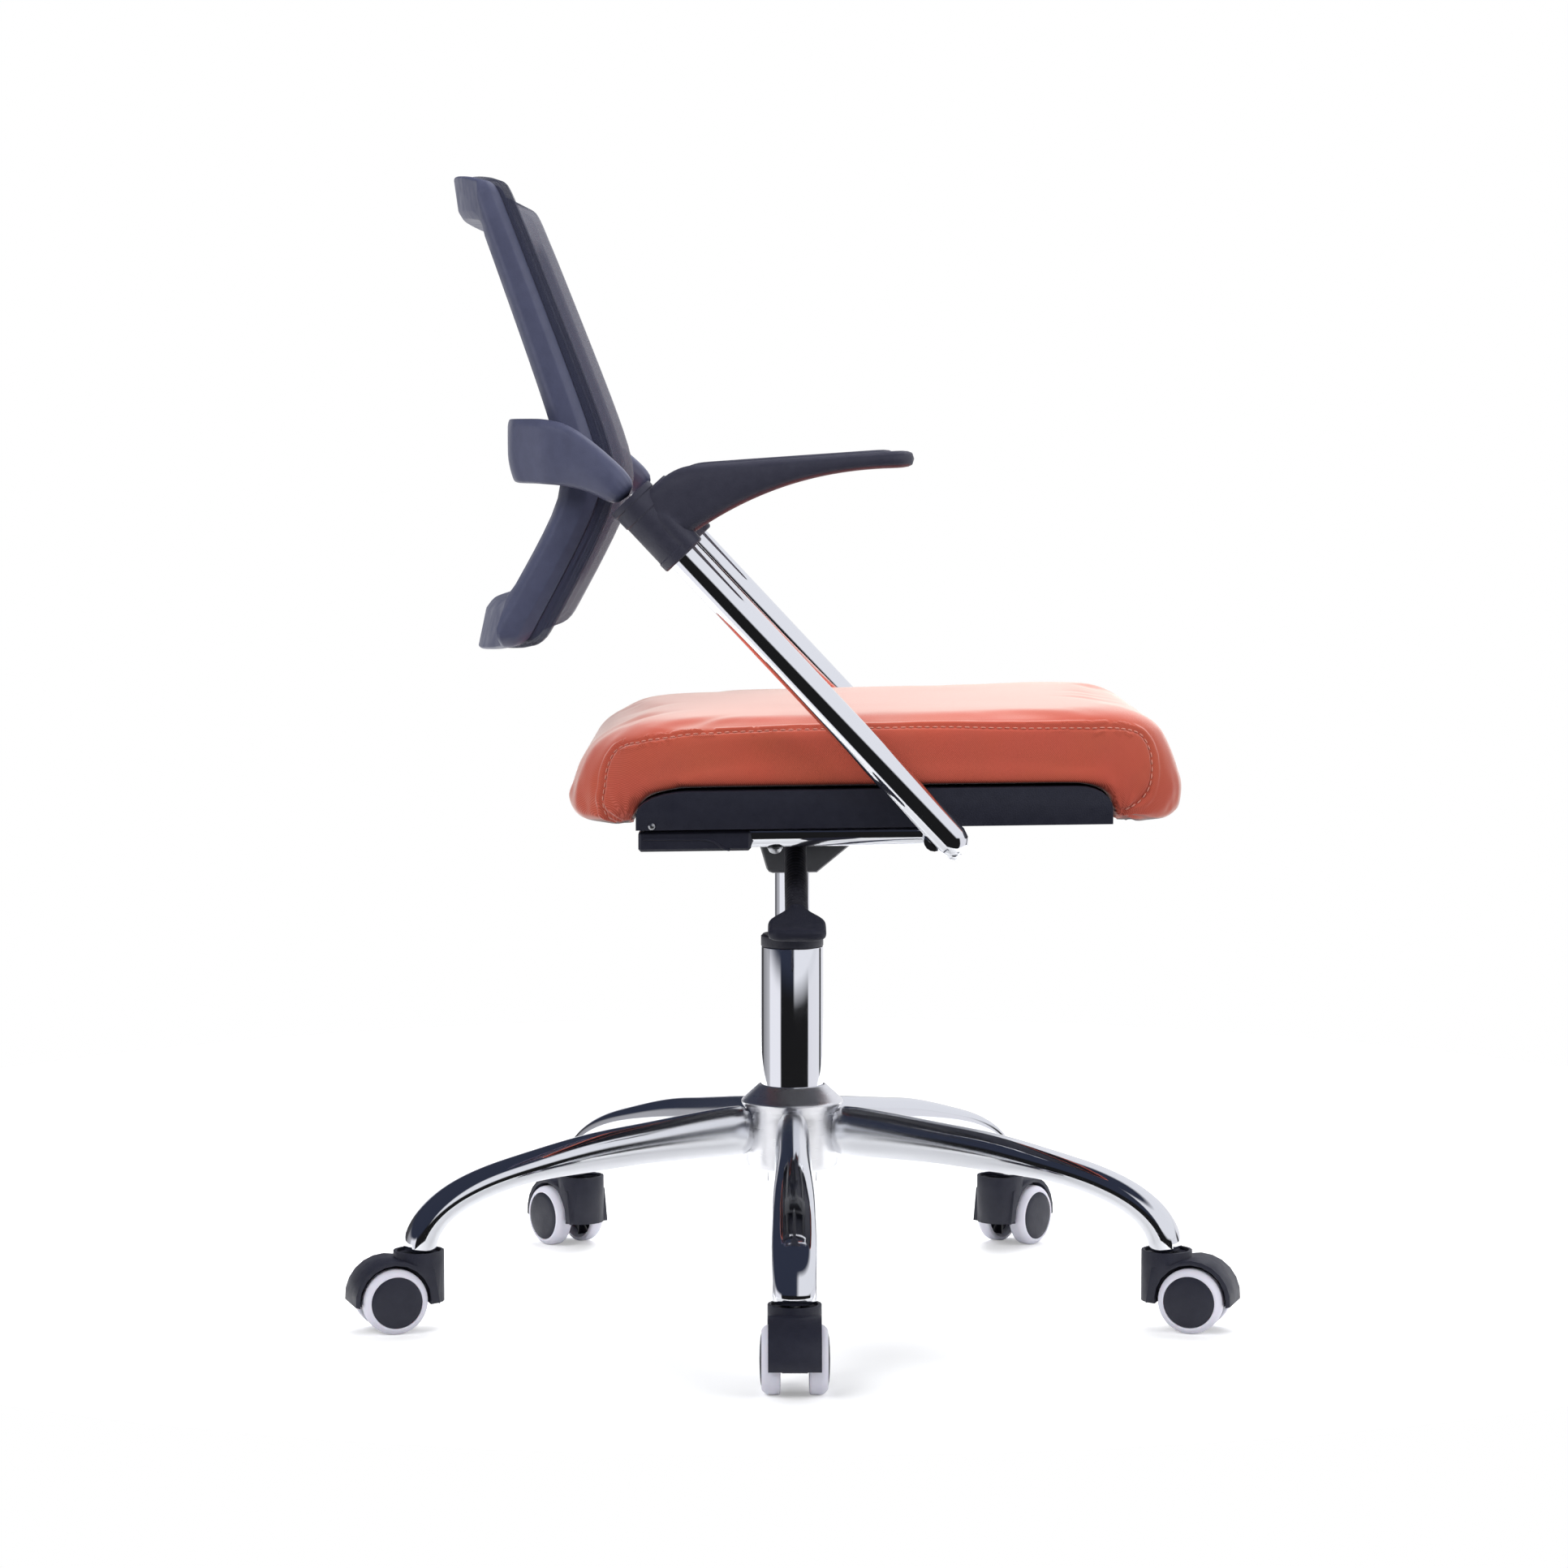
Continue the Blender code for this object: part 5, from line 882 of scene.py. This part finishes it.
# Back mesh: a dark ribbed knit stretched over the front of the frame. It is turned down at the rim as a
# thick border, tucked into a gap beside the frame's band, and open across the middle.
BORDER_RIBS, BORDER_RIB_DEPTH = 6, 0.0005
BORDER_STEPS, BORDER_TUCK, BORDER_SHARE = 4, 0.0008, 0.07
BULGE_LEAST, BULGE, BULGE_END, BULGE_SLOPE = 0.0006, 0.0022, 0.45, 2.2
TURN_START, TURN_SHARE = 0.62, 0.6
MESH_OVER_FRAME, MESH_OVER_HOLLOW = 0.0022, -0.0042
RIM_SHARES = [0.45, 0.62, 0.80, 0.93]
MESH_SHARES = [0.02, 0.05, 0.09, 0.14, 0.20, 0.28, 0.37, 0.46, 0.56, 0.66, 0.76, 0.86, 0.95, 1.0]
MESH_THICK, HOLLOW_FADE = 0.0009, 0.16

stations = frame_stations()
middle = (0.0, (BACK_TOP + BACK_LOW) / 2)
knit_rings, knit_flat = [], []


def lay_knit(places):
    """Adds a ring of the knit: each station's share across the frame or on to its middle, and reach."""
    ring, flat = [], []
    for (outer, inner, _), (share, reach, unrolled) in zip(stations, places):
        spot = part_way(outer, inner, share) if share <= 1 else part_way(inner, middle, share - 1)
        ring.append(back_point(*spot, reach))
        flat.append((spot[0] + unrolled[0], spot[1] + unrolled[1]))
    knit_rings.append(ring)
    knit_flat.append(flat)


wall_steps = BORDER_RIBS * BORDER_STEPS
for step in range(wall_steps + 1):
    t = step / wall_steps
    places = []
    for outer, inner, (out_y, out_z) in stations:
        deep = frame_depth(outer[1], out_y)
        band, front = front_shares(out_z)
        wall = BAND_DEPTH * deep + rolled(outer[1]) - BORDER_TUCK
        bulge = BULGE_LEAST + BULGE * sqrt(1 - (BULGE_SLOPE * max(0.0, BULGE_END - t)) ** 2)
        ridge = BORDER_RIB_DEPTH * cos(2 * pi * BORDER_RIBS * t) * min(1.0, BORDER_RIBS * t)
        width = hypot(inner[0] - outer[0], inner[1] - outer[1])
        turn = max(0.0, t - TURN_START) / (1 - TURN_START)
        share = band + BORDER_SHARE - (bulge + ridge) / width + TURN_SHARE * (front - band) * turn * turn
        reach = -wall * (1 - sin(0.5 * pi * t)) + MESH_OVER_FRAME * t - rolled(outer[1]) * t
        loose = wall * (1 - t)
        places.append((share, reach, (out_y * loose, out_z * loose)))
    lay_knit(places)
for share in RIM_SHARES:
    places = []
    for outer, inner, (out_y, out_z) in stations:
        front = front_shares(out_z)[1]
        across = front + (1 - front) * share
        places.append((across, MESH_OVER_FRAME - rolled(part_way(outer, inner, across)[1]), (0, 0)))
    lay_knit(places)
for share in MESH_SHARES:
    eased_in = soft_step(min(share / HOLLOW_FADE, 1.0))
    reach = MESH_OVER_FRAME + (MESH_OVER_HOLLOW - MESH_OVER_FRAME) * eased_in
    lay_knit([(1 + share, reach, (0, 0)) for _ in stations])

knit = sweep("back_mesh_knit", knit_rings, ends=False)
apply_step(knit, "SOLIDIFY", thickness=MESH_THICK, offset=0.0)
shade(knit, 60)
unrolled = kdtree.KDTree(len(knit_rings) * len(stations))
laid_flat = [spot for flat in knit_flat for spot in flat]
for number, point in enumerate([point for ring in knit_rings for point in ring]):
    unrolled.insert(point, number)
unrolled.balance()
flat_map = knit.data.uv_layers.new(name="unrolled")
for corner in knit.data.loops:
    found = unrolled.find(knit.data.vertices[corner.vertex_index].co)
    flat_map.data[corner.index].uv = laid_flat[found[1]]

knit_finish, shader = new_finish(
    "dark_knit", {"Roughness": 0.78, "Sheen Weight": 0.30, "Sheen Roughness": 0.4}
)
tree = knit_finish.node_tree
place = add_node(tree, "TexCoord").outputs["UV"]
cells = add_node(tree, "Mapping", {"Vector": place, "Scale": (1, 0.7, 1)})
net = {"Vector": cells, "Scale": 430, "Randomness": 0.2}
holes = add_node(tree, "TexVoronoi", net, voronoi_dimensions="2D")
strand = ranged(tree, holes, 0.22, 0.40)
yarn = mixed(tree, strand, (0.060, 0.065, 0.113, 1), (0.158, 0.172, 0.282, 1))
feed(shader, {"Base Color": yarn, "Alpha": ranged(tree, strand, 0.0, 1.0, 0.55, 1.0)})
raise_grain(shader, strand, 0.5, 0.0006)
settle(knit, knit_finish, "back", "dark_mesh", "back_mesh")

# Seat shell: a black moulding with a grained outside, which lies on the rails and holds the cushion.
# Its sides show as two long low panels.
shell = smoothed("seat_shell", "seat_shell_moulding", "seat", moulded, "black_plastic", 0.0012, 30, 0.5)

# Seat cushion: moulded foam under a coral twill cover. The cover has a sewn-in panel at each side, is
# drawn down over the foam and gathered at the ends of the shell, and its colour turns near-black where
# it faces straight down, as painted shade under the seat.
CUSHION_CELL = 0.0060
CUSHION_SHRINK = 0.0016
CUSHION_MOST_MOVE = 0.0030
CLOTH_FRAMES = 20
COVER_CLOTH = {"quality": 6, "mass": 0.25, "use_pressure": True, "uniform_pressure_force": 4.0}
COVER_CLOTH |= {"tension_stiffness": 25, "compression_stiffness": 25}
COVER_CLOTH |= {"shear_stiffness": 15, "bending_stiffness": 2.5}
CUSHION_LOW, CUSHION_HIGH = 0.402, 0.492
END_REAR, END_FRONT, END_FADE, END_DROOP = -0.112, 0.236, 0.045, 0.30
PANEL_SEAM = [
    (-0.1345, 0.1889, 0.4060), (-0.1415, 0.1934, 0.4128), (-0.1451, 0.1964, 0.4220),
    (-0.1468, 0.1991, 0.4350), (-0.1464, 0.1959, 0.4475), (-0.1439, 0.1935, 0.4575),
    (-0.1388, 0.1920, 0.4646), (-0.1310, 0.1957, 0.4692), (-0.1206, 0.2038, 0.4715),
    (-0.1052, 0.2087, 0.4739), (-0.0672, 0.2135, 0.4793), (-0.0166, 0.2132, 0.4825),
    (0.0517, 0.2125, 0.4843), (0.1224, 0.2155, 0.4839), (0.1728, 0.2183, 0.4823),
    (0.2233, 0.2190, 0.4821), (0.2490, 0.2134, 0.4818), (0.2582, 0.2102, 0.4800),
    (0.2648, 0.2075, 0.4757), (0.2699, 0.2078, 0.4689), (0.2727, 0.2106, 0.4602),
    (0.2732, 0.2141, 0.4513), (0.2705, 0.2176, 0.4389), (0.2667, 0.2176, 0.4313),
    (0.2616, 0.2186, 0.4250), (0.2539, 0.2205, 0.4201), (0.2465, 0.2183, 0.4161),
]
PANEL_MIDDLE = Vector((0.060, 0, 0.450))
SEAM_DEPTH, SEAM_HALF, SEAM_ROLL, SEAM_PITCH = 0.0013, 0.0032, 0.0009, 0.0015
PLAIN_HALF = 0.13
HELD_BELOW, HELD_NEAR_SHELL = 0.412, 0.009
GATHERS = [(-0.1260, 0.4060), (0.2460, 0.4150)]
GATHER_REACH, GATHER_DEPTH, GATHER_FOLDS = 0.040, 0.0016, 13


def spaced(path, pitch):
    """Points at equal steps along a line of straight runs."""
    points = []
    left = 0.0
    for start, end in zip(path, path[1:]):
        run = (end - start).length
        while left < run:
            points.append(start.lerp(end, left / run))
            left += pitch
        left -= run
    return points


def seam_on(tree, side, pitch):
    """Points at equal steps along a side panel's seam, laid on a cushion's surface, with its normals."""
    path = [Vector((x, AXIS.y + side * y, z)) for x, y, z in PANEL_SEAM]
    return [tree.find_nearest(point)[:2] for point in spaced(path, pitch)]


cushion = merged_copy("seat_cushion", "seat_cushion_upholstery")
bpy.ops.object.mode_set(mode="OBJECT")
apply_step(cushion, "REMESH", mode="VOXEL", voxel_size=CUSHION_CELL)
apply_step(cushion, "SMOOTH", factor=0.5, iterations=4)
apply_step(cushion, "DISPLACE", strength=-CUSHION_SHRINK, mid_level=0.0)
for vertex in cushion.data.vertices:
    beyond = min(max(END_REAR - vertex.co.x, vertex.co.x - END_FRONT, 0.0) / END_FADE, 1.0)
    share = min(max((vertex.co.z - CUSHION_LOW) / (CUSHION_HIGH - CUSHION_LOW), 0.0), 1.0)
    drawn = share ** (1 + END_DROOP * soft_step(beyond))
    vertex.co.z = CUSHION_LOW + (CUSHION_HIGH - CUSHION_LOW) * drawn
shell_tree = BVHTree.FromObject(shell, bpy.context.evaluated_depsgraph_get())
held = cushion.vertex_groups.new(name="held")
on_shell = []
for vertex in cushion.data.vertices:
    if vertex.co.z < HELD_BELOW or shell_tree.find_nearest(vertex.co, HELD_NEAR_SHELL)[0]:
        on_shell.append(vertex.index)
held.add(on_shell, 1.0, "REPLACE")
before = [vertex.co.copy() for vertex in cushion.data.vertices]
pick(cushion)
cloth = cushion.modifiers.new("cover", "CLOTH")
for key, value in COVER_CLOTH.items():
    setattr(cloth.settings, key, value)
cloth.settings.vertex_group_mass = "held"
cloth.settings.effector_weights.gravity = 0.0
cloth.collision_settings.use_collision = False
cloth.point_cache.frame_start = 1
cloth.point_cache.frame_end = CLOTH_FRAMES
for number in range(1, CLOTH_FRAMES + 1):
    scene.frame_set(number)
bpy.ops.object.modifier_apply(modifier=cloth.name)
scene.frame_set(1)
for vertex, start in zip(cushion.data.vertices, before):
    moved = vertex.co - start
    if moved.length > CUSHION_MOST_MOVE:
        vertex.co = start + moved * (CUSHION_MOST_MOVE / moved.length)
apply_step(cushion, "SMOOTH", factor=0.5, iterations=2)
apply_step(cushion, "SUBSURF", levels=1, render_levels=1)

cushion_tree = BVHTree.FromObject(cushion, bpy.context.evaluated_depsgraph_get())
seam_lines = {}
for hand, side in HANDS:
    found = seam_on(cushion_tree, side, SEAM_PITCH)
    seam_lines[side] = kdtree.KDTree(len(found))
    for number, (point, _) in enumerate(found):
        seam_lines[side].insert(point, number)
    seam_lines[side].balance()


def nearest_seam(point):
    """The closest point of the seam on this side of the cushion, and how far off it is."""
    found = seam_lines[-1 if point.y < AXIS.y else 1].find(point)
    return found[0], found[2]


pick(cushion)
bpy.ops.object.mode_set(mode="EDIT")
bpy.ops.mesh.select_all(action="DESELECT")
cover = bmesh.from_edit_mesh(cushion.data)
for face in cover.faces:
    if nearest_seam(face.calc_center_median())[1] < 3 * SEAM_HALF:
        face.select = True
bmesh.update_edit_mesh(cushion.data)
bpy.ops.mesh.subdivide(number_cuts=1)
bpy.ops.object.mode_set(mode="OBJECT")
normals = [vertex.normal.copy() for vertex in cushion.data.vertices]
for vertex, normal in zip(cushion.data.vertices, normals):
    near = vertex.co
    if abs(near.y - AXIS.y) < PLAIN_HALF:
        continue
    on_seam, gap = nearest_seam(near)
    move = -SEAM_DEPTH * max(0.0, 1 - (gap / SEAM_HALF) ** 2) ** 2
    off, out = near - on_seam, on_seam - PANEL_MIDDLE
    if off.x * out.x + off.z * out.z > 0:
        move += SEAM_ROLL * max(0.0, 1 - (gap / SEAM_HALF - 1.5) ** 2)
    for x, z in GATHERS:
        reach = hypot(near.x - x, near.z - z) / GATHER_REACH
        if reach < 1:
            fold = cos(GATHER_FOLDS * atan2(near.z - z, near.x - x))
            move += GATHER_DEPTH * fold * reach * (1 - reach) ** 2 * 3
    if move:
        vertex.co = near + normal * move
cushion.data.update()
shade(cushion, 80)

RIB_PITCH = 0.0015
twill, shader = new_finish("coral_twill", {"Roughness": 0.90, "Specular IOR Level": 0.12})
feed(shader, {"Sheen Weight": 0.65, "Sheen Roughness": 0.26, "Sheen Tint": (1.0, 0.90, 0.87, 1)})
tree = twill.node_tree
place = add_node(tree, "TexCoord").outputs
diagonal = add_node(tree, "VectorMath", {0: place["Object"], 1: (1, 1, 1)}, operation="DOT_PRODUCT")
ribs = add_node(tree, "CombineXYZ", {"X": diagonal.outputs["Value"]})
weave = {"Vector": ribs, "Scale": 2 * pi / (20 * RIB_PITCH), "Distortion": 0.6, "Detail": 1.0}
wave = add_node(tree, "TexWave", weave).outputs["Fac"]
rib_colour = mixed(tree, wave, (0.490, 0.084, 0.050, 1), (0.690, 0.148, 0.098, 1))
cloud = add_node(tree, "TexNoise", {"Vector": place["Object"], "Scale": 16, "Detail": 5})
worn = mixed(tree, 0.22, rib_colour, cloud.outputs["Color"], "MULTIPLY")
# Painted sheen: where the cover is seen edge-on its colour is mixed towards a pale peach, standing in for
# the light that the fabric catches at a grazing view.
edge_on = add_node(tree, "LayerWeight", {"Blend": 0.5}).outputs["Facing"]
painted_sheen = mixed(tree, calculate(tree, "POWER", edge_on, 6.0), worn, (0.88, 0.66, 0.58, 1))
# Painted shade: where the cover faces straight down its colour turns near-black, standing in for the
# shade under the seat.
facing = add_node(tree, "SeparateXYZ", {0: place["Normal"]}).outputs["Z"]
painted_shade_below = ranged(tree, facing, -0.90, -0.98)
feed(shader, {"Base Color": mixed(tree, painted_shade_below, painted_sheen, (0.010, 0.010, 0.014, 1))})
raise_grain(shader, wave, 0.25, 0.0003)
settle(cushion, twill, "seat", "coral_fabric", "seat_cushion")

# Topstitching: a paler thread, sewn by machine through both layers of the cover. It lies in the seam
# round each side panel.
STITCH_LENGTH, STITCH_PITCH, STITCH_THICK = 0.0042, 0.0060, 0.00055
STITCH_SINK = 0.45 * SEAM_DEPTH
thread, shader = new_finish("coral_thread", {"Roughness": 0.55, "Sheen Weight": 0.4})
tint(shader, 900, (0.64, 0.22, 0.15), (0.78, 0.34, 0.26))

put_away()
bpy.ops.mesh.primitive_uv_sphere_add(segments=6, ring_count=5, radius=1)
stitch_form = bpy.context.object
bpy.ops.object.mode_set(mode="EDIT")
bpy.ops.mesh.select_all(action="SELECT")
bpy.ops.transform.resize(value=(STITCH_THICK, STITCH_THICK, STITCH_LENGTH / 2))
bpy.ops.object.mode_set(mode="OBJECT")
shade(stitch_form, 80)
for hand, side in HANDS:
    found = seam_on(cushion_tree, side, STITCH_PITCH)
    stitches = [point - normal * STITCH_SINK for point, normal in found]
    row = []
    for number, spot in enumerate(stitches):
        ahead = stitches[min(number + 1, len(stitches) - 1)] - stitches[max(number - 1, 0)]
        row.append(copy_of(stitch_form, f"stitch_{hand}_{number}", laid_along(spot, spot + ahead)))
    put_away()
    for one in row:
        one.select_set(True)
    bpy.context.view_layer.objects.active = row[0]
    bpy.ops.object.join()
    row[0].name = f"cushion_topstitch_{hand}"
    settle(row[0], thread, "seat", "coral_fabric")
discard(stitch_form)

# Height lever: a bent steel rod that hinges in the lift plate, in a ribbed rubber sleeve that flares
# into a flat finger paddle.
LEVER_PIVOT = Vector((0.002, AXIS.y - 0.034, 0.3823))
LEVER_DROOP = radians(11.6)
GRIP_START, GRIP_LENGTH, GRIP_RADIUS = 0.034, 0.172, 0.0088
GRIP_BORE, GRIP_MOUTH = 0.0046, 0.0072
GRIP_RIBS, GRIP_PITCH, GRIP_RIB_DEPTH = 24, GRIP_LENGTH / 24, 0.0011
PADDLE_OVERLAP, PADDLE_SIDES, PADDLE_SQUARENESS = 0.003, 20, 0.45
PADDLE_FLARE, PADDLE_FLATTENING, PADDLE_TIP, PADDLE_TIP_SHARE = 1.9, 1.5, 0.9, 0.7
PADDLE_LENGTH, PADDLE_WIDTH, PADDLE_THICK, PADDLE_STATIONS = 0.056, 0.0435, 0.010, 14
smoothed("lever_rod", "lever_steel_rod", "lever", zinc, "zinc_steel")

rubber, shader = new_finish("sleeve_rubber")
tint(shader, 200, (0.014, 0.014, 0.020), (0.022, 0.022, 0.030))
roughen(shader, 90, 0.45, 0.65)


def lever_point(distance):
    return LEVER_PIVOT - Vector((0, cos(LEVER_DROOP), sin(LEVER_DROOP))) * distance


groove = GRIP_RADIUS - GRIP_RIB_DEPTH
grip_profile = [(GRIP_BORE, 0.0), (GRIP_MOUTH, 0.0)]
for rib in range(GRIP_RIBS):
    for radius, share in ((groove, 0.15), (GRIP_RADIUS, 0.40), (GRIP_RADIUS, 0.70), (groove, 0.95)):
        grip_profile.append((radius, (rib + share) * GRIP_PITCH))
grip_profile += [(groove, GRIP_LENGTH), (GRIP_BORE, GRIP_LENGTH)]
grip = lathe("lever_grip_sleeve", grip_profile, 28)
grip.data.transform(laid_along(lever_point(GRIP_START), lever_point(GRIP_START + GRIP_LENGTH)))
shade(grip, 50)
settle(grip, rubber, "lever", "black_plastic", "lever_grip")

lever_up = Vector((0, -sin(LEVER_DROOP), cos(LEVER_DROOP)))
paddle_rings = []
for row in range(PADDLE_STATIONS + 1):
    t = row / PADDLE_STATIONS
    flare = soft_step(min(1.0, PADDLE_FLARE * t))
    past = max(0.0, t - PADDLE_TIP) / (1 - PADDLE_TIP)
    tip = PADDLE_TIP_SHARE + (1 - PADDLE_TIP_SHARE) * sqrt(max(0.0, 1 - past**2))
    half_width = (GRIP_RADIUS + (PADDLE_WIDTH / 2 - GRIP_RADIUS) * flare) * tip
    half_height = (GRIP_RADIUS + (PADDLE_THICK / 2 - GRIP_RADIUS) * min(1.0, PADDLE_FLATTENING * t)) * tip
    centre = lever_point(GRIP_START + GRIP_LENGTH - PADDLE_OVERLAP + PADDLE_LENGTH * t)
    paddle_ring = []
    for angle in ring_angles(PADDLE_SIDES):
        sideways = half_width * squared(cos(angle), 1 - PADDLE_SQUARENESS * flare)
        upward = half_height * squared(sin(angle), 1 - PADDLE_SQUARENESS * flare)
        paddle_ring.append(centre + Vector((sideways, 0, 0)) + lever_up * upward)
    paddle_rings.append(paddle_ring)
paddle = sweep("lever_paddle", paddle_rings)
apply_step(paddle, "SUBSURF", levels=1, render_levels=1)
shade(paddle, 45)
settle(paddle, moulded, "lever", "black_plastic")

# Small fixings: domed cap nuts under the tube feet, domed screws under the rails and pins that hold
# the shell's side panels.
DOME = [(0.0006, 0.0050), (0.0022, 0.0047), (0.0038, 0.0038), (0.0048, 0.0024), (0.0052, 0.0012)]
DOME += [(0.0060, 0.0008), (0.0060, 0.0)]
PIN_HEAD = [(0.0006, 0.0016), (0.0018, 0.0014), (0.0026, 0.0006), (0.0027, -0.0010)]
dome_form = lathe("dome_form", DOME, 24, closed=False)
shade(dome_form, 40)
pin_form = lathe("pin_form", PIN_HEAD, 20, closed=False)
shade(pin_form, 40)
for hand, side in HANDS:
    down, out = Vector((0, 0, -1)), Vector((0, side, 0))
    spots = [
        ("foot_cap_nut", dome_form, (0.1182, 0.249, 0.3882), down, chrome, "chrome"),
        ("rail_screw", dome_form, (-0.0141, 0.213, 0.3895), down, zinc, "zinc_steel"),
        ("shell_pin", pin_form, (-0.1061, 0.2310, 0.4066), out, zinc, "zinc_steel"),
    ]
    for name, form, (x, y, z), facing, finish, slot in spots:
        start = Vector((x, AXIS.y + side * y, z))
        fixing = copy_of(form, f"{name}_{hand}", laid_along(start, start + facing))
        settle(fixing, finish, "seat", slot)
discard(dome_form, pin_form)
